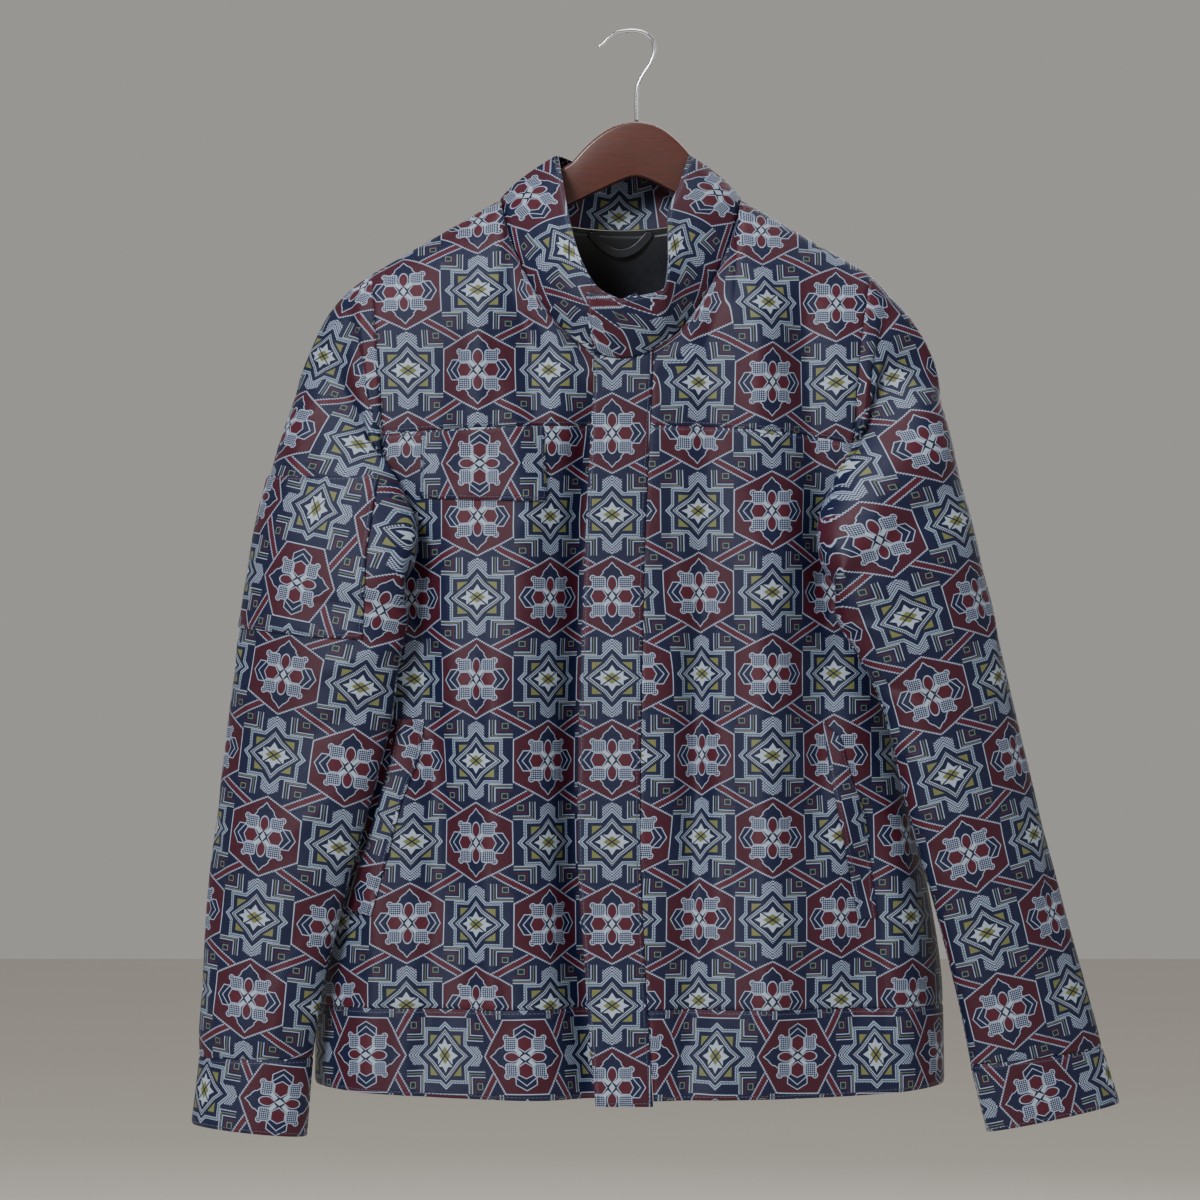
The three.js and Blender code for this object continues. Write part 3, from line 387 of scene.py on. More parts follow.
SLEEVE_LEFT = [
    (1, 206, -1, -211, 199, 2, -434, 43, 34, 0),
    (2, 222, -4, -230, 200, -12, -438, 44, 33, 4),
    (3, 233, -6, -252, 194, -25, -443, 44, 27, 9),
    (4, 241, -7, -279, 183, -38, -448, 42, 21, 12),
    (5, 249, -7, -313, 170, -48, -453, 40, 16, 11),
    (6, 257, -8, -350, 163, -55, -458, 38, 15, 6),
    (7, 267, -10, -391, 164, -64, -466, 37, 15, 2),
    (8, 276, -12, -436, 173, -64, -481, 35, 15, 0),
    (9, 287, -13, -484, 186, -63, -504, 33, 14, 0),
    (10, 299, -14, -535, 199, -60, -533, 31, 14, 0),
    (11, 313, -15, -590, 211, -56, -581, 28, 13, 0),
    (12, 326, -15, -640, 224, -52, -633, 26, 13, 0),
    (13, 340, -15, -693, 238, -47, -681, 24, 13, 0),
    (14, 354, -14, -742, 251, -42, -730, 22, 13, 0),
    (15, 366, -13, -785, 263, -37, -781, 21, 13, 0),
    (16, 370, -13, -801, 269, -34, -812, 20, 13, 0),
    (17, 384, -12, -845, 282, -32, -865, 19, 13, 0),
]
YOKE_ROWS = [0, 0.008, 0.025, 0.06, 0.13, 0.25, 0.42, 0.6, 0.8, 1]
ARM_ROWS = [1 + t * (UNDERARM - 1) for t in (0.35, 0.62, 0.82, 0.94, 1)]
ARMHOLE_ROWS = np.array(YOKE_ROWS + ARM_ROWS)

# Creases of a sleeve. Places are millimetres round from the middle of its front, and ring numbers.
ARM_ROUND = 300
RING_LONG = 43
ARMHOLE_FADE = 0.9  # rings over which the creases fade
CUFF_FADE = 0.5
SLEEVE_CREASES = {
    "right": [
        (-60, 1.0, -20, 5.5, 9, -2.0),
        (-20, 0.8, 12, 5.0, 8, 2.0),
        (22, 0.8, 40, 4.6, 8, -2.2),
        (52, 0.8, 62, 4.2, 7, 1.8),
        (62, 6.6, -4, 8.2, 8, -2.4),
        (66, 8.2, 4, 9.6, 7, 2.2),
        (64, 9.6, -14, 11.0, 8, -2.4),
        (-72, 8.8, -24, 10.4, 8, 1.8),
        (50, 11.2, -18, 12.6, 8, 2.0),
        (-66, 11.6, -20, 13.4, 9, -1.8),
        (44, 13.0, 0, 14.4, 7, -1.7),
        (-40, 14.0, -10, 15.6, 7, 1.5),
        (24, 14.4, 30, 15.9, 6, 1.4),
        (150, 3.0, 140, 8.0, 12, 2.2),
        (110, 8.6, 170, 10.2, 9, -2.2),
        (120, 10.6, 180, 12.6, 9, 2.0),
        (160, 13.0, 130, 15.4, 8, -1.8),
        (-130, 2.0, -120, 6.0, 10, 2.0),
    ],
    "left": [
        (-56, 1.0, -22, 5.0, 9, -2.0),
        (-18, 0.8, 10, 5.4, 8, 2.2),
        (24, 0.8, 38, 4.4, 8, -2.4),
        (54, 0.8, 60, 4.0, 7, 1.8),
        (64, 7.2, 10, 9.0, 8, 2.4),
        (64, 9.4, -6, 10.2, 7, -3.4),
        (62, 10.6, -16, 11.8, 8, 2.6),
        (-66, 8.0, -20, 9.8, 8, 1.9),
        (54, 12.2, -10, 13.0, 7, -2.2),
        (-60, 11.8, -24, 13.8, 9, -1.8),
        (48, 13.8, 6, 14.8, 7, 1.8),
        (-30, 14.2, -6, 15.8, 7, -1.5),
        (20, 14.8, 26, 15.9, 6, 1.2),
        (148, 3.0, 136, 8.4, 12, 2.2),
        (112, 9.0, 168, 10.8, 9, -2.2),
        (122, 11.2, 176, 13.0, 9, 2.0),
        (158, 13.2, 134, 15.2, 8, -1.8),
        (-130, 2.0, -122, 6.4, 10, 2.0),
    ],
}


class Sleeve:
    """A sleeve as a surface over r, the ring number, and q, the share of the way round from the shoulder."""

    def __init__(self, side, table):
        self.way = -1 if side == "right" else 1
        self.creases = [(a0, r0 * RING_LONG, a1, r1 * RING_LONG, *size)
                        for a0, r0, a1, r1, *size in SLEEVE_CREASES[side]]
        rows = ARMHOLE_ROWS
        down = body_point(side, self.way, rows, fine=False)
        up = body_point("back", self.way, rows[1:-1][::-1], fine=False)
        points = np.concatenate([down, up])
        steps = np.linalg.norm(np.roll(points, -1, axis=0) - points, axis=1)
        half = len(rows) - 1
        gone = np.concatenate([[0], np.cumsum(steps)])
        front, back = gone[half], gone[-1] - gone[half]
        self.q = np.where(
            np.arange(len(points)) < half, 0.5 * gone[:-1] / front, 0.5 + 0.5 * (gone[:-1] - front) / back
        )
        top, bottom = points[0], points[half]
        self.bottom = bottom
        self.line = columns(SLEEVE_NAMES, [(0, *top, *bottom, *CAP), *table])
        wide, on, ahead = self.axes(np.array(0.0))
        start = points - self.middle(np.array(0.0))
        half_wide = np.linalg.norm(top - bottom) / 2
        turned_q = np.append(self.q, 1.0)
        own = [start @ wide / half_wide, start @ ahead, start @ on]
        self.outline = [lambda at, o=np.append(o, o[0]): np.interp(at, turned_q, o) for o in own]
        rear_q, rear_r = np.array(0.75), np.array(8.0)  # where the outside faces away from the middle
        away = self.point(rear_q, rear_r) - self.middle(rear_r)
        self.sense = np.sign(np.sum(normal_of(self.point, rear_q, rear_r) * away))

    def outer(self, r):
        return stack(self.line["xo"](r), self.line["yo"](r), self.line["zo"](r))

    def inner(self, r):
        return stack(self.line["xi"](r), self.line["yi"](r), self.line["zi"](r))

    def middle(self, r):
        return (self.outer(r) + self.inner(r)) / 2

    def axes(self, r):
        """Unit vectors at a ring: across it, on along the arm, and ahead."""
        wide = unit(self.outer(r) - self.inner(r))
        on = self.middle(np.minimum(r + 0.5, SLEEVE_LAST + 1)) - self.middle(np.maximum(r - 0.5, 0))
        on = unit(on - wide * np.sum(on * wide, axis=-1, keepdims=True))
        ahead = unit(np.cross(wide, on))
        return wide, on, np.where(ahead[..., 1:2] > 0, -ahead, ahead)

    def point(self, q, r):
        q, r = np.broadcast_arrays(np.asarray(q, float), np.asarray(r, float))
        turn = np.mod(q, 1)
        wide, on, ahead = self.axes(r)
        was_wide, was_front, was_on = [part(turn) for part in self.outline]
        formed = ease(r / SLEEVE_SETTLE)
        angle = 2 * math.pi * q
        width = np.linalg.norm(self.outer(r) - self.inner(r), axis=-1)
        across = mix(was_wide, np.cos(angle), formed) * width / 2
        stand = np.where(np.sin(angle) > 0, self.line["thick"](r), self.line["rear"](r))
        out = mix(was_front, stand * np.sin(angle), formed)
        p = self.middle(r) + wide * across[..., None] + ahead * out[..., None]
        p = p + on * (was_on * (1 - formed))[..., None]
        swell = self.line["puff"](r) * bell((turn - PUFF_AT) / PUFF_WIDE)
        p[..., 0] -= self.way * swell * PUFF_INWARD
        p[..., 1] -= swell * PUFF_FORWARD
        return self.hang_in_front(p, turn, r)

    def hang_in_front(self, p, turn, r):
        """The sleeve hangs in front of the body where one covers the other."""
        x, y, z = p[..., 0], p[..., 1], p[..., 2]
        v = below_yoke(z)
        beyond = np.abs(x - BODY["mid"](v)) - BODY["half"](v)
        cover = ease(1 - beyond / COVER_FADE)
        clear = SLEEVE_CLEAR * np.clip(r, 0, 1)
        hung = mix(y, np.minimum(y, -front_depth(x, z) - clear), cover)
        p[..., 1] = np.where((turn > 0.5) & (z > self.bottom[2]), y, hung)
        return p

    def creased(self, q, r):
        """Height of the creases at a place. They fade at the armhole and at the cuff."""
        around = (np.mod(q + 0.25, 1) - 0.5) * ARM_ROUND
        height = folds(self.creases, around, r * RING_LONG)
        return height * ease(r / ARMHOLE_FADE) * ease((SLEEVE_LAST - r) / CUFF_FADE)

    def normal(self, q, r):
        """The way out of the sleeve. Beside the bulge of the cap it leans back over the arm."""
        return normal_of(self.point, q, r) * self.sense


SLEEVES = {side: Sleeve(side, table) for side, table in (("right", SLEEVE_RIGHT), ("left", SLEEVE_LEFT))}


# ---- Normals ----
SIDE_LEAN = 0.2  # share of a panel beside its side seam where its normals may lean out sideways
SKY_LEAN = 0.15
NEAR_HOLE = 0.02  # ring of the sleeve where the armhole's normals are taken
NEAR_SEAM = 0.01  # share of the yoke and of the collar where the neckline's are


def outward(normals, towards):
    """Turns each normal so that it points the same way as towards."""
    flip = np.sum(normals * towards, axis=-1, keepdims=True) < 0
    return np.where(flip, -normals, normals)


def body_normal(piece, u, v):
    away = np.array([0, 1.0 if piece == "back" else -1.0, SKY_LEAN])
    normals = normal_of(lambda a, b: body_point(piece, a, b), u, v)
    sideways = stack(np.sign(u) * ease((np.abs(u) - 1 + SIDE_LEAN) / SIDE_LEAN), 0, 0)
    return outward(normals, away + sideways)


def hole_normal(piece, side, v):
    """The normal that the body and the sleeve share along the armhole."""
    sleeve = SLEEVES[side]
    half = len(ARMHOLE_ROWS)
    if piece == "back":
        q = np.interp(v, ARMHOLE_ROWS, np.append(1.0, sleeve.q[::-1])[:half])
    else:
        q = np.interp(v, ARMHOLE_ROWS, sleeve.q[:half])
    return unit(body_normal(piece, sleeve.way, v) + sleeve.normal(q, NEAR_HOLE))


# ---- The collar ----
def neck_angle(piece, u):
    """Degrees round the collar, from the middle of the front by way of the right side."""
    share = np.clip((body_x(u, 0.0) - MID_TOP) / NECK_HALF, -1, 1)
    angle = np.degrees(np.arcsin(share))
    if piece == "back":
        return 180 + angle
    return -angle if piece == "right" else 360 - angle


def neck_u(angle):
    return body_u(MID_TOP - NECK_HALF * np.sin(np.radians(angle)), 0.0)


def collar_point(angle, b):
    """The collar's surface: b is 0 at its free edge and 1 at the neckline."""
    angle, b = np.broadcast_arrays(np.asarray(angle, float), np.asarray(b, float))
    right = angle < 180
    turn = np.where(right, angle, 360 - angle)
    turned_by = np.abs(turn)
    spread = np.where(right, COLLAR_EDGE["right"](turned_by), COLLAR_EDGE["left"](turned_by)) * np.sign(turn)
    u = neck_u(angle)
    low_front = body_point("left", u, 0.0, fine=False)
    low_back = body_point("back", u, 0.0, fine=False)
    ahead = (angle <= 90) | (angle >= 270)
    low = np.where(ahead[..., None], low_front, low_back)
    sunk = np.where(angle <= 90, valley(low[..., 0], low[..., 2]), 0)
    low = low + stack(0, sunk, 0)
    high = stack(
        MID_TOP + np.where(right, -spread, spread),
        COLLAR_EDGE["y"](turned_by) + sunk,
        COLLAR_EDGE["z"](turned_by),
    )
    p = high + (low - high) * b[..., None]
    out = unit(stack(p[..., 0] - MID_TOP, p[..., 1], 0))
    return p + out * (COLLAR_BULGE * np.sin(math.pi * b))[..., None]


def collar_normal(angle, b):
    away = collar_point(angle, b) - np.array([MID_TOP, 0, 0])
    return outward(normal_of(collar_point, angle, b), away * np.array([1, 1, 0]))


def neck_normal(angle):
    """The normal that the collar shares with the body along the neckline."""
    u = neck_u(angle)
    ahead = ((angle <= 90) | (angle >= 270))[..., None]
    right = (angle <= 90)[..., None]
    front = np.where(right, body_normal("right", u, NEAR_SEAM), body_normal("left", u, NEAR_SEAM))
    own = np.where(ahead, front, body_normal("back", u, NEAR_SEAM))
    return unit(own + collar_normal(angle, 1 - NEAR_SEAM))


# ---- Shells ----
EDGE_LINES = np.array([0.6, 1.5, 3.0])  # extra rows and columns beside an edge
EDGE_ROUND = 1.3  # how far in from an edge the face falls away, and by what share of the thickness
EDGE_DIP = 0.4
FAR = 99.0


def lines(low, high, count, long):
    """Parameters from low to high, with extra ones just inside the ends of a run that is long mm."""
    near = EDGE_LINES / long
    t = np.unique(np.concatenate([np.linspace(0, 1, count + 1), near, 1 - near]))
    return low + (high - low) * t


def runs(place):
    """Distances along the grid: from the first column, and from the first row."""
    across = np.linalg.norm(np.diff(place, axis=1), axis=-1)
    down = np.linalg.norm(np.diff(place, axis=0), axis=-1)
    across = np.pad(np.cumsum(across, axis=1), ((0, 0), (1, 0)))
    down = np.pad(np.cumsum(down, axis=0), ((1, 0), (0, 0)))
    return across, down


def edge_map(place, stitched):
    """How far along and how far from the nearest stitched edge each point lies."""
    across, down = runs(place)
    found = {
        "first": (down, across),
        "last": (down, across[:, -1:] - across),
        "top": (across, down),
        "bottom": (across, down[-1:, :] - down),
    }
    along, away = np.zeros(across.shape), np.full(across.shape, FAR)
    for name in stitched.split():
        run, distance = found[name]
        nearer = distance < away
        along, away = np.where(nearer, run, along), np.where(nearer, distance, away)
    return np.stack([along, away], axis=-1)


def add_object(name, data, place=(0, 0, 0)):
    thing = bpy.data.objects.new(name, data)
    thing.location = place
    bpy.context.scene.collection.objects.link(thing)
    return thing


def add_mesh(name, points, faces, materials, uvs=None, slots=None):
    """A smooth mesh, with cloth coordinates for each point and a material slot for each face."""
    mesh = bpy.data.meshes.new(name)
    mesh.from_pydata((points / 1000).tolist(), [], faces)
    for material in materials:
        mesh.materials.append(material)
    at = np.empty(len(mesh.loops), int)
    mesh.loops.foreach_get("vertex_index", at)
    for label, values in (uvs or {}).items():
        layer = mesh.uv_layers.new(name=label)
        layer.data.foreach_set("uv", values[at].astype(np.float32).ravel())
    if slots is not None:
        mesh.polygons.foreach_set("material_index", slots.astype(np.int32))
    mesh.polygons.foreach_set("use_smooth", np.ones(len(mesh.polygons), bool))
    mesh.update()
    return add_object(name, mesh)


def grid_faces(rows, cols, start=0):
    j, i = np.meshgrid(np.arange(rows - 1), np.arange(cols - 1), indexing="ij")
    a = start + (j * cols + i).ravel()
    return np.stack([a, a + cols, a + cols + 1, a + 1], axis=1)


def shell(name, place, normal, thick, chart, stitched="", lift=0.0, outside="cloth", inside="cloth",
          keep=None, under_chart=None):
    """A closed thin shell over a grid of places, rounded off along its edges."""
    rows, cols, _ = place.shape
    across, down = runs(place)
    edge = np.minimum(np.minimum(across, across[:, -1:] - across), np.minimum(down, down[-1:, :] - down))
    dip = EDGE_DIP * thick * bell(edge / EDGE_ROUND)
    over_face = place + normal * (lift + thick - dip)[..., None]
    under_face = place + normal * lift
    if keep is not None:
        over_face, under_face = keep(over_face), keep(under_face)
    points = np.concatenate([over_face.reshape(-1, 3), under_face.reshape(-1, 3)])
    count = rows * cols
    outer = grid_faces(rows, cols)
    inner = grid_faces(rows, cols, count)[:, ::-1]
    ring = np.concatenate([
        np.arange(cols - 1),
        np.arange(rows - 1) * cols + cols - 1,
        (rows - 1) * cols + np.arange(cols - 1, 0, -1),
        np.arange(rows - 1, 0, -1) * cols,
    ])
    after = np.roll(ring, -1)
    rim = np.stack([ring, after, after + count, ring + count], axis=1)
    faces = np.concatenate([outer, inner, rim])
    if volume_of(points[faces]) < 0:
        faces = faces[:, ::-1]
    slots = np.zeros(len(faces), int)
    slots[len(outer):len(outer) + len(inner)] = 1
    under_chart = chart if under_chart is None else under_chart
    uvs = {
        "Cloth": np.concatenate([chart.reshape(-1, 2), under_chart.reshape(-1, 2)]),
        "Edge": np.concatenate([edge_map(place, stitched).reshape(-1, 2)] * 2),
    }
    return add_mesh(name, points, faces.tolist(), [MATERIALS[outside], MATERIALS[inside]], uvs, slots)


def volume_of(corners):
    """Six times the volume inside faces of four corners, negative if they face inward."""
    a, b, c, d = np.moveaxis(corners, 1, 0)
    return np.sum(np.cross(a, b) * c) + np.sum(np.cross(a, c) * d)


def zero_at(run, level, where):
    """Shifts each row of run so that it is zero where level passes the value where, past the ends too."""
    out = np.empty_like(run)
    for j, (distance, value) in enumerate(zip(run, level)):
        if value[0] > value[-1]:
            distance, value = distance[::-1], value[::-1]
        inner = np.clip(where, value[0], value[-1])
        out[j] = run[j] - np.interp(inner, value, distance) - (where - inner)
    return out


def chart_flat(place, x0, z0):
    """Cloth coordinates of a panel: along X and along Z over its surface, from the place at x0 and z0."""
    dx, dy, dz = [np.diff(place[..., k], axis=1) for k in range(3)]
    u = np.pad(np.cumsum(np.hypot(dx, dy) * np.sign(dx), axis=1), ((0, 0), (1, 0)))
    dy, dz = [np.diff(place[..., k], axis=0) for k in (1, 2)]
    v = np.pad(np.cumsum(np.hypot(dz, dy) * np.sign(dz), axis=0), ((1, 0), (0, 0)))
    u = zero_at(u, place[..., 0], x0)
    v = zero_at(v.T, place[..., 2].T, z0).T
    return np.stack([u, v], axis=-1)


def turned(chart, degrees):
    """Cloth coordinates after a turn, for a piece that is cut at an angle to the repeat."""
    u, v = chart[..., 0], chart[..., 1]
    cos, sin = math.cos(math.radians(degrees)), math.sin(math.radians(degrees))
    return np.stack([u * cos + v * sin, v * cos - u * sin], axis=-1)


# ---- Materials ----
class Field:
    """A number that varies over a surface: the output of a node."""

    tree = None

    def __init__(self, socket):
        self.socket = socket

    @classmethod
    def math(cls, operation, *values, clamp=False):
        node = cls.tree.nodes.new("ShaderNodeMath")
        node.operation = operation
        node.use_clamp = clamp
        for socket, value in zip(node.inputs, values):
            if isinstance(value, Field):
                cls.tree.links.new(value.socket, socket)
            else:
                socket.default_value = value
        return cls(node.outputs[0])

    def __add__(self, other):
        return self.math("ADD", self, other)

    def __sub__(self, other):
        return self.math("SUBTRACT", self, other)

    def __rsub__(self, other):
        return self.math("SUBTRACT", other, self)

    def __mul__(self, other):
        return self.math("MULTIPLY", self, other)

    def __abs__(self):
        return self.math("ABSOLUTE", self)


def least(a, b):
    return Field.math("MINIMUM", a, b)


def most(a, b):
    return Field.math("MAXIMUM", a, b)


def inside_of(distance, soft=0.25):
    """1 inside a shape and 0 outside, from the distance to its outline, which is negative inside."""
    return Field.math("MULTIPLY_ADD", distance, -1 / soft, 0.5, clamp=True)


def line_at(distance, half=0.34):
    return inside_of(abs(distance) - half)


def painted(colour, *layers):
    """Lays colours over another one in turn, each where its own mask is 1."""
    for mask, top in layers:
        colour = over(colour, mask, top)
    return colour


def figure(shape, fill):
    """The two layers of a shape: its fill and its pale outline."""
    return (inside_of(shape), fill), (line_at(shape), PALE)


def over(colour, mask, top):
    """Lays a colour over another one where the mask is 1."""
    node = Field.tree.nodes.new("ShaderNodeMix")
    node.data_type = "RGBA"
    Field.tree.links.new(mask.socket, node.inputs["Factor"])
    for name, value in (("A", colour), ("B", top)):
        socket = [s for s in node.inputs if s.name == name and s.type == "RGBA"][0]
        if isinstance(value, tuple):
            socket.default_value = (*value, 1)
        else:
            Field.tree.links.new(value, socket)
    return [s for s in node.outputs if s.type == "RGBA"][0]


CELL = (59.0, 63.6)  # width and height of one cell of the woven repeat
NAVY = (0.0042, 0.0070, 0.030)
MAROON = (0.040, 0.0050, 0.0135)
CRIMSON = (0.056, 0.006, 0.015)
PALE = (0.25, 0.295, 0.39)
GREY_BLUE = (0.050, 0.080, 0.115)
OLIVE = (0.120, 0.128, 0.048)
WHITE = (0.28, 0.33, 0.40)
GREEN = (0.115, 0.135, 0.085)
DARK = (0.006, 0.008, 0.018)


def root(x, y, wide, tall):
    """Distance from the centre of an ellipse, 1 on its outline."""
    across, up = x * (1 / wide), y * (1 / tall)
    return Field.math("SQRT", Field.math("POWER", across, 2.0) + Field.math("POWER", up, 2.0))


# Both cells are drawn in one quarter: ax and ay are the distances in mm from the cell's middle lines.
def hexagon_cell(ax, ay, step):
    """A maroon hexagon with a flower of eight petals."""
    edge = most(ax - 29.5, (ay + ax * 0.517 - 31.8) * 0.888 + step)
    bar_across = most(ay - 7.8, (ax + ay * 0.6 - 26) * 0.857)
    shoulder = most(most(ax - 7.0, ay - 22.4), (ax + ay - 26.6) * 0.707)
    ogee = least(shoulder, (ax * 1.2 + ay - 26.6) * 0.64)
    wide = most(abs(ax - 10.2) - 3.2, 0.0)
    tall = most(abs(ay - 10.6) - 2.7, 0.0)
    tip = root(ax - 14.9, ay - 14.2, 1, 1) - 2.2
    petal = least(Field.math("SQRT", wide * wide + tall * tall) - 1.9, tip)
    hatch = Field.math("SINE", (ax + ay) * 2.05) * Field.math("SINE", (ax - ay) * 2.05)
    side_petal = most(most(ay - 5.2, (ax + ay * 0.52 - 16.6) * 0.887), (ay * 0.69 - ax + 4) * 0.82)
    oval = most((root(ax, ay - 9.8, 3.6, 6) - 1) * 4, (ax - ay * 0.75 + 2.2) * 0.8)
    bar = most(abs((ax - ay) * 0.707 + 0.4) - 1.5, abs((ax + ay) * 0.707 - 6.6) - 3.0)
    middle = (ax * 0.4 + ay * 0.278 - 1) * 2.05
    return painted(
        NAVY,
        (inside_of(edge), MAROON),
        (inside_of(abs(edge + 0.45) - 0.42), PALE),
        *figure(bar_across, NAVY),
        *figure(ogee, NAVY),
        (inside_of(petal), over(NAVY, inside_of(hatch + 0.12, 0.3), PALE)),
        (line_at(petal), PALE),
        *figure(side_petal, CRIMSON),
        *figure(oval, CRIMSON),
        (inside_of(bar), WHITE),
        (inside_of(middle - 0.7), DARK),
        (inside_of(middle), WHITE),
    ), edge


def star_cell(ax, ay):
    """An eight-pointed star on navy, with nested brackets in the cell's corners."""
    dots = Field.math("SINE", ax * 2.9) * Field.math("SINE", ay * 2.9)
    star = least(most(ax - 20.3, ay - 16.3), (ax + ay - 24.7) * 0.707)
    chevron = most(most((ay + ax * 0.5 - 31) * 0.894, 1.9 - star), ax - 7.6)
    inner = least((ax * 0.79 + ay - 13.6) * 0.785, (ax * 1.18 + ay - 15.4) * 0.647)
    olive = most(most(ax - 15.6, ay - 12.4), 3.9 - inner)
    ticks = Field.math("SINE", (ax - ay) * 3.2)
    points = least((ax + ay * 2.2 - 13.3) * 0.41, (ax * 1.5 + ay - 10.2) * 0.55)
    white = least(most(ax - 8.8, ay - 5.6), points)
    cross = abs(ay - ax * 0.7) * 0.82 - 0.55
    return painted(
        NAVY,
        (inside_of(most(chevron, dots * 0.8)), PALE),
        (line_at(star, 1.25), GREY_BLUE),
        (inside_of(most(abs(abs(star) - 0.85) - 0.4, dots * 0.7 - 0.15)), PALE),
        (inside_of(olive), OLIVE),
        (inside_of(most(abs(inner - 1.5) - 0.6, ticks * 0.5)), WHITE),
        (line_at(inner, 0.32), WHITE),
        (inside_of(white), WHITE),
        (inside_of((ax * 0.143 + ay * 0.217 - 1) * 3.8), OLIVE),
        (inside_of(most(cross, white - 0.6)), DARK),
        (line_at(least(ax - 12, ay - 18.2)), PALE),
        (line_at(least(ax - 14.2, ay - 19.4), 0.3), GREEN),
        (line_at(least(ax - 16.3, ay - 20.8)), PALE),
        (line_at(least(ax - 19, ay - 23.4), 0.4), CRIMSON),
        (line_at(most(abs(ax - 23.4) - 2.3, abs(ay - 27.2) - 1.9)), GREEN),
    )


def woven(u, v):
    """Colour of the cloth: hexagon and star cells in turn, with short bands across the corners."""
    i = Field.math("FLOOR", u * (1 / CELL[0]) + 0.5)
    j = Field.math("FLOOR", v * (1 / CELL[1]) + 0.5)
    odd = Field.math("GREATER_THAN", Field.math("FRACT", (i + j) * 0.5 + 0.25), 0.5)
    ax, ay = abs(u - i * CELL[0]), abs(v - j * CELL[1])
    step = Field.math("PINGPONG", ax, 0.9) - 0.45
    hexagon, edge = hexagon_cell(ax, ay, step)
    colour = over(hexagon, odd, star_cell(ax, ay))
    corner = ((ay - 31.8) - (odd * -2.0 + 1.0) * ((ax - 29.5) * 0.54)) * 0.88
    clear = (0.4 - edge) - odd * 60.0
    band = abs(corner)
    colour = over(colour, inside_of(most(band - 2.3, clear)), CRIMSON)
    return over(colour, inside_of(most(abs(band - 2.4 + step) - 0.36, clear)), PALE)


def new_material(name, **plain):
    """A material with one principled shader. Its plain inputs are given with _ for each space."""
    material = bpy.data.materials.new(name)
    material.use_nodes = True
    tree = material.node_tree
    tree.nodes.clear()
    out = tree.nodes.new("ShaderNodeOutputMaterial")
    shader = tree.nodes.new("ShaderNodeBsdfPrincipled")
    tree.links.new(shader.outputs[0], out.inputs["Surface"])
    for label, value in plain.items():
        shader.inputs[label.replace("_", " ")].default_value = value
    Field.tree = tree
    return material, shader


def feed(shader, colour, rough=None):
    """Joins a colour, and a roughness that varies, to a shader."""
    Field.tree.links.new(colour, shader.inputs["Base Color"])
    if rough is not None:
        Field.tree.links.new(rough.socket, shader.inputs["Roughness"])


def add_node(kind, **inputs):
    """A node with its inputs by name. Each is a plain value or another node's output."""
    node = Field.tree.nodes.new(f"ShaderNode{kind}")
    for name, value in inputs.items():
        if isinstance(value, bpy.types.NodeSocket):
            Field.tree.links.new(value, node.inputs[name])
        else:
            node.inputs[name].default_value = value
    return node


def uv_fields(name):
    node = add_node("UVMap")
    node.uv_map = name
    split = add_node("SeparateXYZ", Vector=node.outputs[0])
    return Field(split.outputs[0]), Field(split.outputs[1])


def noise(scale, detail=2.0, stretch=(1, 1, 1)):
    place = add_node("TexCoord").outputs["Object"]
    scaled = add_node("Mapping", Vector=place, Scale=stretch).outputs[0]
    return Field(add_node("TexNoise", Vector=scaled, Scale=scale, Detail=detail).outputs["Fac"])


def bump(shader, height, strength, distance):
    node = add_node("Bump", Height=height.socket, Strength=strength, Distance=distance)
    Field.tree.links.new(node.outputs[0], shader.inputs["Normal"])


def brightened(colour, factor):
    """A colour times a number."""
    node = add_node("VectorMath")
    node.operation = "SCALE"
    Field.tree.links.new(colour, node.inputs[0])
    Field.tree.links.new(factor.socket, node.inputs["Scale"])
    return node.outputs[0]


WEAVE = 9.0  # waves of the weave, in radians to a mm
STITCH_IN = 2.6  # how far the stitches lie inside an edge
STITCH_TURN = 1.6  # half the distance from one stitch to the next
THREAD = (0.05, 0.055, 0.09)


def cloth_material():
    """Figured satin cloth with stitches along the edges, which show in the bump as the weave does."""
    material, shader = new_material(
        "kikko_cloth", Specular_IOR_Level=0.22, Sheen_Weight=0.02, Sheen_Roughness=0.45,
        Sheen_Tint=(0.50, 0.68, 1.0, 1),
    )
    u, v = uv_fields("Cloth")
    colour = woven(u, v)
    weave = Field.math("SINE", u * WEAVE) * Field.math("SINE", v * WEAVE)
    slub = noise(420, 3)
    patchy = noise(9, 2)
    colour = brightened(colour, (weave * 0.08 + 0.82) + slub * 0.30 + (patchy - 0.5) * 0.3)
    along, away = uv_fields("Edge")
    stitch = most(abs(away - STITCH_IN) - 0.35, Field.math("PINGPONG", along, STITCH_TURN) - 1.15)
    thread = inside_of(stitch, 0.15)
    feed(shader, over(colour, thread, THREAD), (slub * 0.16 + 0.34) + weave * 0.04)
    groove = thread * 1.2 - inside_of(abs(away - STITCH_IN) - 1.2, 1.2)
    bump(shader, (weave * 0.25 + slub * 0.8) + groove, 0.5, 0.00035)
    return material


def lining_material():
    """Black satin."""
    material, shader = new_material("black_satin", Sheen_Weight=0.04, Specular_IOR_Level=0.4)
    fine = noise(700, 2, (1, 1, 0.25))
    feed(shader, over((0.006, 0.007, 0.010), fine, (0.014, 0.015, 0.020)), fine * 0.18 + 0.24)
    bump(shader, noise(28, 3) + fine * 0.05, 0.35, 0.0012)
    return material


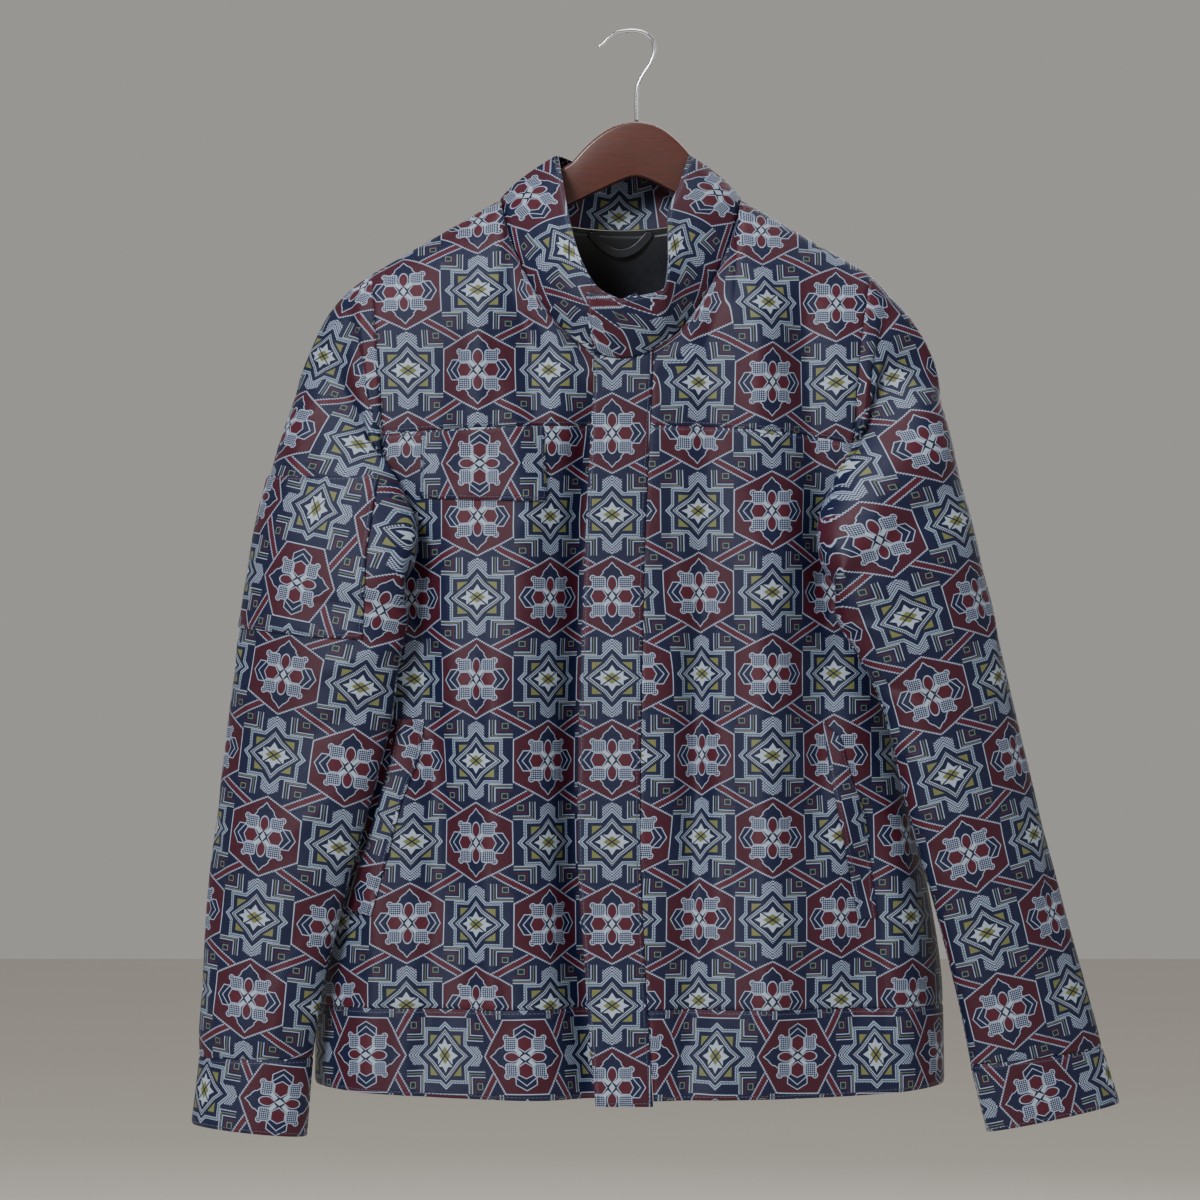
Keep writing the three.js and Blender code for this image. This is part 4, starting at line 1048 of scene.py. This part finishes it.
def wood_material():
    """Dark reddish-brown wood under varnish, with its grain along the hanger."""
    material, shader = new_material("varnished_wood", Coat_Weight=0.25, Coat_Roughness=0.16)
    grain = noise(26, 5, (1.4, 14, 14))
    fine = noise(160, 3, (0.8, 12, 12))
    tone = over((0.105, 0.022, 0.012), grain, (0.028, 0.007, 0.005))
    tone = over(tone, inside_of(fine - 0.44, 0.2), (0.045, 0.011, 0.007))
    feed(shader, tone, grain * 0.15 + 0.27)
    bump(shader, grain + fine * 0.4, 0.12, 0.0006)
    return material


def steel_material():
    """Polished steel wire with fine drawing marks."""
    material, shader = new_material("polished_steel", Metallic=1.0)
    marks = noise(500, 2, (1, 1, 0.15))
    feed(shader, over((0.50, 0.51, 0.53), marks, (0.66, 0.67, 0.69)), marks * 0.12 + 0.14)
    return material


def floor_material():
    material, shader = new_material("pale_floor", Roughness=0.75)
    feed(shader, over((0.70, 0.66, 0.60), noise(3, 3), (0.74, 0.70, 0.64)))
    return material


MATERIALS = {
    "cloth": cloth_material(),
    "lining": lining_material(),
    "wood": wood_material(),
    "steel": steel_material(),
    "floor": floor_material(),
}


# ---- Body pieces ----
def seam_y(p):
    z = p[..., 2]
    return BODY["side"](below_yoke(z)) * (z < YOKE_Z)


def keep_ahead(p):
    """Keeps a front's points on its own side of the side seam."""
    return np.stack([p[..., 0], np.minimum(p[..., 1], seam_y(p) - GAP), p[..., 2]], axis=-1)


def keep_behind(p):
    return np.stack([p[..., 0], np.maximum(p[..., 1], seam_y(p) + GAP), p[..., 2]], axis=-1)


def front_u(piece, share, v):
    """Columns of a front: from the fly's seam to the neckline's end, and on to the side."""
    way = -1 if piece == "right" else 1
    z = body_z(True, np.array(0.0), v)
    seam = FLY["seam"](z)
    edge = body_u(seam - UNDERLAP if piece == "right" else seam, v)
    neck = way * NECK_U
    low = mix(edge, neck, share / NECK_SHARE)
    high = mix(neck, way, (share - NECK_SHARE) / (1 - NECK_SHARE))
    return np.where(share <= NECK_SHARE, low, high)


def fly_u(share, v):
    z = body_z(True, np.array(0.0), v)
    return body_u(mix(FLY["edge"](z), FLY["seam"](z), share), v)


HOLE_LEAN = 0.045  # share of a panel beside the armhole where its normals lean to those of the sleeve
TINY = 1e-6


def seamed(piece, u, v, normal):
    """Leans the normals to those shared with the sleeve and with the collar."""
    u, v = np.broadcast_arrays(u, v)
    for way, side in ((-1, "right"), (1, "left")):
        if piece in ("right", "left") and piece != side:
            continue
        near = ease((way * u - 1 + HOLE_LEAN) / HOLE_LEAN) * (v <= UNDERARM)
        if near.max() <= 0:
            continue
        shared = hole_normal(piece, side, np.clip(v[:, 0], 0, UNDERARM))[:, None, :]
        normal = unit(mix(normal, shared, near[..., None]))
    lean = np.clip(1 - v / NECK_TURN, 0, 1) * (np.abs(u) <= NECK_U + TINY)
    if lean.max() > 0:
        shared = neck_normal(neck_angle(piece, u[0]))[None]
        normal = unit(mix(normal, shared, lean[..., None]))
    return normal


def inset(place, top=GAP, bottom=GAP, first=GAP, last=GAP):
    """Draws a grid's border rows and columns back from its seams."""
    place = place.copy()
    across = place.swapaxes(0, 1)
    for grid, edge, inner, gap in ((place, 0, 2, top), (place, -1, -3, bottom),
                                   (across, 0, 2, first), (across, -1, -3, last)):
        if gap:
            grid[edge] += unit(grid[inner] - grid[edge]) * gap
    return place


HEXAGON_AT = {  # where a hexagon's centre lies on each piece, as x and z
    "front_yoke_right": (-118.6, -269),
    "front_right": (-118.6, -637),
    "front_yoke_left": (161.5, -216),
    "front_left": (110, -506),
    "fly": (-14, -700),
    "back": (-8, -400),
}


def finish_piece(piece, node):
    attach(piece, "root")
    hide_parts(node)


def sewn(node, place, normal, thick, chart, stitched="", **more):
    """A sewn piece of the patterned cloth."""
    finish_piece(shell(f"{node}_cloth", place, normal, thick, chart, stitched, **more), node)


NEAR_NECK = [0.006, 0.014, 0.025, 0.045, 0.07]  # rows added there


def rows_from_neck(low, high, count, long):
    """Rows of a panel, with closer ones where it turns up into the collar."""
    return np.unique(np.concatenate([lines(low, high, count, long), NEAR_NECK]))[:, None]


def panel(side, u, v):
    """Places and normals of a panel's grid, before its edges are drawn back."""
    return body_point(side, u, v), seamed(side, u, v, body_normal(side, u, v))


def body_fronts():
    share = lines(0, 1, 84, 230)[None, :]
    for side in ("right", "left"):
        for node, v, edge in (
            (f"front_yoke_{side}", rows_from_neck(0, 1, 46, 170), "bottom"),
            (f"front_{side}", lines(1, 2, 110, 450)[:, None], "top"),
        ):
            place, normal = panel(side, front_u(side, share, v), v)
            place = inset(place)
            chart = chart_flat(place, *HEXAGON_AT[node])
            sewn(node, place, normal, CLOTH, chart, edge, inside="lining", keep=keep_ahead)


def body_fly():
    v = rows_from_neck(0, FLY_END, 190, 640)
    place, normal = panel("left", fly_u(lines(0, 1, 16, 47)[None, :], v), v)
    place = inset(place, SEAM, 0, 0, SEAM)
    chart = chart_flat(place, *HEXAGON_AT["fly"])
    sewn("fly", place, normal, FIRM, chart, "first last bottom")


def body_back():
    v = rows_from_neck(0, 2, 150, 620)
    place, normal = panel("back", lines(-1, 1, 150, 480)[None, :], v)
    place = inset(place)
    chart = chart_flat(place, *HEXAGON_AT["back"])
    sewn("back", place, normal, CLOTH, chart, inside="lining", keep=keep_behind)


LINING_SPAN = ((-0.95, 0.95), (0.025, 1.9))  # how far it reaches across and down the back
RIPPLE = 0.8
RIPPLE_UNDER = 0.9


def body_lining():
    u = np.linspace(*LINING_SPAN[0], 90)[None, :]
    v = np.linspace(*LINING_SPAN[1], 110)[:, None]
    place = body_point("back", u, v, fine=False)
    x, z = place[..., 0], place[..., 2]
    ripple = RIPPLE * np.sin(x / 17 + z / 60) * ease((v - 0.2) / 0.3)
    normal = body_normal("back", u, v)
    place = place + normal * (ripple - RIPPLE_UNDER)[..., None]
    lift = -LINING - 2 * PROUD
    chart = chart_flat(place, 0, HEXAGON_AT["back"][1])
    satin = {"outside": "lining", "inside": "lining"}
    piece = shell("back_lining_satin", place, normal, LINING, chart, lift=lift, **satin)
    finish_piece(piece, "back_lining")


BAND_HEXAGON_X = 130.3
BAND_HEXAGON_DOWN = 36


def hem_band():
    """The band runs from under the fly round the right side, the back and the left side to the fly's seam."""
    v = lines(2, 3, 20, 62)[:, None]
    share = np.linspace(0, 1, 90)
    parts = [
        body_point("right", front_u("right", share[None, :], v), v),
        body_point("back", np.linspace(-1, 1, 150)[None, 1:-1], v),
        body_point("left", front_u("left", share[None, ::-1], v), v),
    ]
    place = np.concatenate(parts, axis=1)
    along = np.gradient(place, axis=1)
    down = np.gradient(place, axis=0)
    normal = outward(unit(np.cross(along, down)), place - place * np.array([0, 0, 1.0]))
    place = inset(place, SEAM, 0, 0, SEAM)
    across, deep = runs(place)
    on_left = place.shape[1] - share.size
    spot = on_left + int(np.argmin(np.abs(place[v.size // 2, on_left:, 0] - BAND_HEXAGON_X)))
    u = across - across[:, spot:spot + 1]
    chart = turned(np.stack([u, BAND_HEXAGON_DOWN - deep], axis=-1), 90)
    sewn("hem_band", place, normal, FIRM, chart, "top bottom")


COLLAR_GRAIN = math.radians(21)  # how far the collar's grain leans at its ends
COLLAR_GRAIN_RUN = 50  # degrees from the middle of the back over which it comes to that
COLLAR_RISE = 40  # where its repeat begins below the free edge
COLLAR_SHIFT = 20
COLLAR_BLEND = 0.18  # share beside the neckline where its normals lean to the body's


def collar():
    right = neck_angle("right", front_u("right", np.linspace(0, NECK_SHARE, 50), np.zeros(50)))
    left = neck_angle("left", front_u("left", np.linspace(NECK_SHARE, 0, 50), np.zeros(50)))
    over_fly = neck_angle("left", fly_u(lines(1, 0, 14, 47), 0.0))
    angle = np.concatenate([right, np.linspace(90, 270, 110)[1:-1], left, over_fly[1:]])
    angle = np.unique(np.round(angle, 5))[None, :]
    b = lines(0, 1, 30, 85)[:, None]
    place = collar_point(angle, b)
    shared = neck_normal(angle[0])[None]
    near = ease((b - 1 + COLLAR_BLEND) / COLLAR_BLEND)[..., None]
    normal = unit(mix(collar_normal(angle, b), shared, near))
    place = inset(place, 0, NECK_GAP, 0, 0)
    across, deep = runs(place)
    lean = COLLAR_GRAIN * np.tanh((angle - 180) / COLLAR_GRAIN_RUN)
    back_at = np.argmin(np.abs(angle[0] - 180))
    step = np.pad(np.diff(across, axis=1), ((0, 0), (1, 0)))

    def summed(values):
        total = np.cumsum(values * step, axis=1)
        return total - total[:, back_at:back_at + 1]

    rise = COLLAR_RISE - deep
    u = -summed(np.cos(lean)) - rise * np.sin(lean)
    v = rise * np.cos(lean) - summed(np.sin(lean)) + COLLAR_SHIFT
    chart = np.stack([u, v], axis=-1)
    facing = chart + np.array([CELL[0], -COLLAR_SHIFT])
    sewn("collar", place, normal, FIRM, chart, "top first last", under_chart=facing)


# ---- Sleeves and cuffs ----
GRAIN = {"right": (8, 16), "left": (15, 14)}  # degrees that the grain leans out, low down and at the cap
GRAIN_LOW = -560  # height from which its lean changes, and over how much
GRAIN_RUN = 260
HEXAGON_ON = {  # where a hexagon's centre lies on the front of each sleeve piece, as x and z
    "sleeve_right": (-285.5, -631.8),
    "sleeve_left": (234, -524),
    "cuff_right": (-273, -838.5),
    "cuff_left": (319.8, -834.6),
    "sleeve_patch": (-257.4, -435.2),
}
SETTLE_STEPS = 700
SHORTEST = 0.2  # step between two places that counts as that long at least
FACES_AHEAD = -0.3  # a normal's y, below which a place is on the front of the arm
HOLE_ROWS = [0.02, 0.05, 0.1]  # rings added beside the armhole
HOLE_BLEND = 0.3  # rings over which the normals turn to those shared with the body
SIDE_TRUST = 0.05  # weight of the side of an arm next to the body, where the rest of it has about 1


def settled(place, field, trust):
    """Numbers over a grid whose differences match a field of directions best, by conjugate gradients."""
    rises, weights = [], []
    for axis in (0, 1):
        ahead, behind = (np.s_[1:], np.s_[:-1]) if axis == 0 else (np.s_[:, 1:], np.s_[:, :-1])
        step = np.diff(place, axis=axis)
        rises.append(np.sum(step * (field[ahead] + field[behind]) / 2, axis=-1))
        weights.append((trust[ahead] + trust[behind]) / np.maximum(np.linalg.norm(step, axis=-1), SHORTEST))

    def gathered(down, across):
        total = np.zeros(place.shape[:2])
        total[1:] += down
        total[:-1] -= down
        total[:, 1:] += across
        total[:, :-1] -= across
        return total

    def applied(values):
        return gathered(weights[0] * np.diff(values, axis=0), weights[1] * np.diff(values, axis=1))

    first = np.concatenate([[0], np.cumsum(rises[0][:, 0])])
    values = first[:, None] + np.pad(np.cumsum(rises[1], axis=1), ((0, 0), (1, 0)))
    left = gathered(weights[0] * rises[0], weights[1] * rises[1]) - applied(values)
    scale = np.zeros(values.shape)
    scale[1:] += weights[0]
    scale[:-1] += weights[0]
    scale[:, 1:] += weights[1]
    scale[:, :-1] += weights[1]
    way = left / scale
    size = np.sum(left * way)
    for _ in range(SETTLE_STEPS):
        pushed = applied(way)
        gain = size / np.sum(way * pushed)
        values, left = values + gain * way, left - gain * pushed
        fresh = np.sum(left * left / scale)
        way, size = left / scale + fresh / size * way, fresh
    return values


def sleeve_chart(side, node, place, normal):
    """Cloth coordinates of a sleeve piece: v up its leaning grain and u round it, from a hexagon's centre."""
    x0, z0 = HEXAGON_ON[node]
    low, cap = GRAIN[side]
    lean = np.radians(low + (cap - low) * ease((place[..., 2] - GRAIN_LOW) / GRAIN_RUN))
    up = stack(-np.sin(lean) * SLEEVES[side].way, 0, np.cos(lean))
    along = unit(up - normal * np.sum(up * normal, axis=-1, keepdims=True))
    trust = SIDE_TRUST + np.clip(1 + SLEEVES[side].way * normal[..., 0], 0, 1) ** 2
    chart = np.stack([settled(place, np.cross(along, normal), trust), settled(place, along, trust)], axis=-1)
    off = np.hypot(place[..., 0] - x0, place[..., 2] - z0)
    ahead = normal[..., 1] < FACES_AHEAD
    centre = np.unravel_index(np.argmin(np.where(ahead, off, np.inf)), off.shape)
    return chart - chart[centre]


def sleeves():
    q = 0.5 + lines(0, 1, 130, 300)[None, :]
    for side, sleeve in SLEEVES.items():
        r = np.unique(np.concatenate([lines(0, SLEEVE_LAST, 170, 650), HOLE_ROWS]))[:, None]
        place = sleeve.point(q, r)
        near = ease(1 - r / HOLE_BLEND)[..., None]
        normal = unit(mix(sleeve.normal(q, r), hole_at(side, q[0])[None], near))
        place = inset(place + normal * sleeve.creased(q, r)[..., None], first=0, last=0)
        chart = sleeve_chart(side, f"sleeve_{side}", place, normal)
        sewn(f"sleeve_{side}", place, normal, CLOTH, chart, inside="lining")
        r = lines(SLEEVE_LAST, SLEEVE_LAST + 1, 18, 60)[:, None]
        normal = sleeve.normal(q, r)
        place = inset(sleeve.point(q, r), bottom=0, first=0, last=0)
        chart = turned(sleeve_chart(side, f"cuff_{side}", place, normal), 90)
        sewn(f"cuff_{side}", place, normal, FIRM, chart, "top bottom")


def hole_at(side, q):
    """The armhole's shared normals at shares of the way round."""
    sleeve = SLEEVES[side]
    turn = np.mod(q, 1)
    half = len(ARMHOLE_ROWS)
    v_front = np.interp(turn, sleeve.q[:half], ARMHOLE_ROWS)
    v_back = np.interp(turn, np.append(sleeve.q[half - 1:], 1.0), ARMHOLE_ROWS[::-1])
    front = body_normal(side, sleeve.way, v_front)
    rear = body_normal("back", sleeve.way, v_back)
    own = np.where((turn <= 0.5)[:, None], front, rear)
    return unit(own + sleeve.normal(q, NEAR_HOLE))


# ---- Pieces that lie on a panel ----
def on_front(side, x, z, lift):
    """Places and normals on a front's outer face, by x and z."""
    def surface(a, b):
        depth = front_depth(a, b, fine=True)
        if side == "right":
            depth = depth - valley(a, b)
        return stack(a, -depth, b)

    da = surface(x + 0.5, z) - surface(x - 0.5, z)
    db = surface(x, z + 0.5) - surface(x, z - 0.5)
    normal = outward(unit(np.cross(da, db)), np.array([0, -1.0, 0]))
    return surface(x, z) + normal * lift, normal


def patch_grid(left, right, count_across, count_down, long_across, long_down):
    """A grid between two edges that are each given as points (x, z) from top to bottom."""
    t = lines(0, 1, count_down, long_down)[:, None]
    s = lines(0, 1, count_across, long_across)[None, :]
    left, right = np.array(left, float), np.array(right, float)

    def along(edge):
        run = np.concatenate([[0], np.cumsum(np.linalg.norm(np.diff(edge, axis=0), axis=1))])
        at = t[:, 0] * run[-1]
        return np.stack([np.interp(at, run, edge[:, k]) for k in range(2)], axis=-1)

    a, b = along(left), along(right)
    return mix(a[:, None, 0], b[:, None, 0], s), mix(a[:, None, 1], b[:, None, 1], s)


FLAP = ([(-163, -318), (-163, -369)], [(-67, -313), (-67, -372)])
FLAP_HEXAGON = (-117, -342)
WELTS = {
    "right": (
        [(-182, -542), (-188, -578), (-204, -640), (-223, -691)],
        [(-160, -542), (-166, -574), (-178, -606), (-201, -695)],
    ),
    "left": (
        [(150, -543), (160, -604), (168, -650), (177, -698)],
        [(165, -556), (173, -590), (183, -616), (193, -697)],
    ),
}
WELT_LEAN = {"right": -16, "left": 14}


def trims():
    lift = CLOTH + PROUD
    x, z = patch_grid(*FLAP, 50, 30, 96, 55)
    place, normal = on_front("right", x, z, lift)
    chart = turned(chart_flat(place, *FLAP_HEXAGON), 90)
    sewn("chest_flap", place, normal, POCKET_PLY, chart, "first last bottom")
    for side, edges in WELTS.items():
        x, z = patch_grid(*edges, 12, 70, 22, 160)
        place, normal = on_front(side, x, z, lift)
        chart = turned(chart_flat(place, *HEXAGON_AT[f"front_{side}"]), WELT_LEAN[side])
        sewn(f"welt_{side}", place, normal, POCKET_PLY, chart, "first last")


PATCH_TOP = ((-340, -350), (-197, -354))
PATCH_BOTTOM = ((-340, -468), (-301, -471), (-240, -478), (-208, -479))
PATCH_RIGHT = ((-197, -354), (-200, -385), (-204, -413), (-208, -479))
PATCH_ROUND = (-0.17, 0.46)  # where its seam behind the arm lies, and how far its right edge is looked for
PATCH_RINGS = (3.5, 10.5)


def sleeve_patch():
    """The patch on the right sleeve: found on a fine grid of the sleeve by the heights of its edges."""
    sleeve = SLEEVES["right"]
    q = np.linspace(*PATCH_ROUND, 160)
    r = np.linspace(*PATCH_RINGS, 240)
    dense = sleeve.point(q[None, :], r[:, None])
    rows = lines(0, 1, 60, 120)
    share = lines(0, 1, 80, 170)
    top, bottom, right = [np.array(e, float).T for e in (PATCH_TOP, PATCH_BOTTOM, PATCH_RIGHT)]
    grid_q, grid_r = np.empty((2, rows.size, share.size))
    for j, t in enumerate(rows):
        ring = np.empty(q.size)
        for i in range(q.size):
            x, z = dense[:, i, 0], dense[:, i, 2]
            level = mix(np.interp(x, *top), np.interp(x, *bottom), t)
            ring[i] = np.interp(0, level - z, r)
        line = sleeve.point(q, ring)
        beyond = line[:, 0] - np.interp(-line[:, 2], -right[1], right[0])
        ahead = q.size // 2
        end = np.interp(0, beyond[ahead:], q[ahead:])
        grid_q[j] = mix(q[0], end, share)
        grid_r[j] = np.interp(grid_q[j], q, ring)
    normal = sleeve.normal(grid_q, grid_r)
    place = sleeve.point(grid_q, grid_r) + normal * sleeve.creased(grid_q, grid_r)[..., None]
    chart = turned(sleeve_chart("right", "sleeve_patch", place, normal), 90)
    sewn("sleeve_patch", place, normal, POCKET_PLY, chart, "top bottom last", lift=CLOTH + PROUD)


# ---- The hanger and the loop ----
BOARD = 12.0
BOARD_ROUND = 5.0
BOARD_SEAT = 1.1
BOARD_TIPS = (-192, 178)
HUMP_X = 5.5
HUMP_TOP = -70
HUMP_BEND = (0.0125, 0.0148)
UNDER_TOP = -114
UNDER_ROUND = 8
UNDER_FALL = (0.5, 0.56)
WIRE = 1.7
HOOK = [
    (5.5, -69.7), (5.5, -54), (6.2, -43), (10.5, -33.5), (16.5, -24), (19.6, -14), (17.4, -4.5),
    (9.6, 0.6), (0, 1.7), (-9.6, 0.2), (-16, -3.6), (-20.5, -8), (-24.6, -11.6),
]
LOOP_HALF = 24
LOOP_TOP = -155.5
LOOP_SAG = 17
LOOP_WIDE = 7
LOOP_THICK = 1.2
LOOP_ROW = 0.04  # of the back, where it is sewn on
BOARD_CROWD = 0.35  # how much closer its rings come towards the tips
BOARD_CORNER = 0.55  # power of the cosines that square its section
END_LEAST = 0.02
HOOK_TIP = (0.97, 0.85, 0.5)  # share of the wire's radius over its last rings


def board_top(x):
    away = np.abs(x - MID_TOP) - NECK_HALF
    bend = np.where(x < HUMP_X, HUMP_BEND[0], HUMP_BEND[1])
    return np.maximum(NECK_Z - BOARD_SEAT - SHOULDER_SLOPE * away, HUMP_TOP - bend * (x - HUMP_X) ** 2)


def board_bottom(x):
    away = np.sqrt((x - HUMP_X) ** 2 + UNDER_ROUND**2) - UNDER_ROUND
    return UNDER_TOP - away * np.where(x < HUMP_X, UNDER_FALL[0], UNDER_FALL[1])


def add_tube(name, rings, material):
    """A tube through rings of points, with a fan at each end."""
    count, around, _ = rings.shape
    points = np.concatenate([rings.reshape(-1, 3), rings[:1].mean(axis=1), rings[-1:].mean(axis=1)])
    round_it = [(a, (a + 1) % around) for a in range(around)]
    faces = [(k * around + a, k * around + b, (k + 1) * around + b, (k + 1) * around + a)
             for k in range(count - 1) for a, b in round_it]
    last = (count - 1) * around
    faces += [(count * around, b, a) for a, b in round_it]
    faces += [(count * around + 1, last + a, last + b) for a, b in round_it]
    return add_mesh(name, points, faces, [MATERIALS[material]])


def squarish(wave):
    """A cosine or sine drawn towards its ends, so that a circle of them has flatter sides."""
    wave = np.round(wave, 12)
    return np.sign(wave) * np.abs(wave) ** BOARD_CORNER


def hanger_board():
    low, high = BOARD_TIPS
    t = np.linspace(0, 1, 161)
    x = low + (high - low) * mix(t, 0.5 - 0.5 * np.cos(math.pi * t), BOARD_CROWD)
    angle = np.linspace(0, 2 * math.pi, 40, endpoint=False)
    shape_y, shape_z = squarish(np.cos(angle)), squarish(np.sin(angle))
    top, bottom = board_top(x)[:, None], board_bottom(x)[:, None]
    short = np.clip(1 - np.minimum(x - low, high - x) / BOARD_ROUND, 0, 1)
    near_end = np.sqrt(np.maximum(1 - short**2, END_LEAST))[:, None]
    tall = (top - bottom) / 2 - BOARD_ROUND * (1 - near_end)
    y = shape_y * (BOARD / 2) * near_end
    z = (top + bottom) / 2 + np.sign(shape_z) * (tall - BOARD_ROUND) + shape_z * BOARD_ROUND
    rings = stack(np.broadcast_to(x[:, None], y.shape), y, z)
    finish_piece(add_tube("hanger_board", rings, "wood"), "hanger_wood")


def hanger_hook():
    path = spline(np.array(HOOK, float), 12)
    tangent = unit(np.gradient(path, axis=0))
    side = np.stack([tangent[:, 1], -tangent[:, 0]], axis=-1)
    around = np.linspace(0, 2 * math.pi, 18, endpoint=False)
    size = np.full((len(path), 1), WIRE)
    size[-len(HOOK_TIP):, 0] *= HOOK_TIP
    x = path[:, :1] + side[:, :1] * np.cos(around) * size
    z = path[:, 1:] + side[:, 1:] * np.cos(around) * size
    rings = stack(x, np.sin(around) * size, z)
    finish_piece(add_tube("hanger_wire_hook", rings, "steel"), "hanger_hook")


def spline(points, count):
    """A smooth line through points: a Catmull-Rom curve."""
    ends = np.concatenate([[2 * points[0] - points[1]], points, [2 * points[-1] - points[-2]]])
    out = []
    for a, b, c, d in zip(ends, ends[1:], ends[2:], ends[3:]):
        slope, bend, twist = c - a, 2 * a - 5 * b + 4 * c - d, 3 * b - a - 3 * c + d
        out += [0.5 * (2 * b + slope * t + bend * t**2 + twist * t**3) for t in np.arange(count) / count]
    return np.array(out + [points[-1]])


def neck_loop():
    """A flat ribbon that hangs in a curve inside the back of the neck."""
    u = body_u(MID_TOP + LOOP_HALF, LOOP_ROW)
    y = float(body_point("back", u, LOOP_ROW, fine=False)[..., 1]) - LINING - 5 * PROUD
    x = np.linspace(-LOOP_HALF, LOOP_HALF, 60)[:, None]
    z = LOOP_TOP - LOOP_SAG * (1 - (x / LOOP_HALF) ** 2)
    slope = 2 * LOOP_SAG * x / LOOP_HALF**2
    long = np.sqrt(1 + slope**2)
    across = np.linspace(-1, 1, 9)[None, :] * LOOP_WIDE / 2
    px = MID_TOP + x - across * (slope / long)
    pz = np.minimum(z + across / long, LOOP_TOP)
    front = stack(px, np.full(px.shape, y - LOOP_THICK), pz)
    rear = stack(px, np.full(px.shape, y), pz)
    rings = np.concatenate([front, rear[:, ::-1]], axis=1)
    finish_piece(add_tube("neck_loop_ribbon", rings, "lining"), "neck_loop")


# ---- Stage, in metres ----
FLOOR_Z = -1.30
FLOOR_HALF = 8.0
CAMERA = (-0.0234, -4.0, -0.4485)
SENSOR = 36
FRAME_WIDTH = 0.936  # what the picture takes in, at the depth of the front
FRONT_Y = -0.055
MIDDLE = (0, 0, -0.45)
LIGHTS = {  # place, power, size and colour
    "key": ((-1.7, -3.0, 1.35), 165, 1.0, (0.96, 0.98, 1.0)),
    "fill": ((2.4, -2.2, 0.2), 14, 1.6, (0.90, 0.95, 1.0)),
    "top": ((0.2, -0.3, 2.2), 46, 1.4, (1, 1, 1)),
    "rear": ((0.6, 2.6, 0.8), 30, 2.0, (1, 1, 1)),
}
SKY = (0.72, 0.69, 0.64, 1)
SKY_STRENGTH = 0.48


def stage():
    mesh = bpy.data.meshes.new("floor")
    corners = [(x * FLOOR_HALF, y * FLOOR_HALF, FLOOR_Z) for x, y in ((-1, -1), (1, -1), (1, 1), (-1, 1))]
    mesh.from_pydata(corners, [], [(0, 1, 2, 3)])
    mesh.materials.append(MATERIALS["floor"])
    add_object("floor", mesh)
    for name, (place, power, size, colour) in LIGHTS.items():
        data = bpy.data.lights.new(name, "AREA")
        data.energy, data.size, data.color = power, size, colour
        way = Vector(MIDDLE) - Vector(place)
        add_object(name, data, place).rotation_euler = way.to_track_quat("-Z", "Y").to_euler()
    world = bpy.data.worlds.new("pale")
    world.use_nodes = True
    background = world.node_tree.nodes["Background"]
    background.inputs["Color"].default_value = SKY
    background.inputs["Strength"].default_value = SKY_STRENGTH
    bpy.context.scene.world = world
    data = bpy.data.cameras.new("camera")
    data.sensor_width = SENSOR
    data.lens = SENSOR * (FRONT_Y - CAMERA[1]) / FRAME_WIDTH
    data.clip_end = 60
    camera = add_object("camera", data, CAMERA)
    camera.rotation_euler = (math.pi / 2, 0, 0)
    bpy.context.scene.camera = camera


stage()
body_fronts()
body_fly()
body_back()
body_lining()
hem_band()
collar()
sleeves()
trims()
sleeve_patch()
hanger_board()
hanger_hook()
neck_loop()


def plain(box):
    return [[float(a) for a in corner] for corner in box]
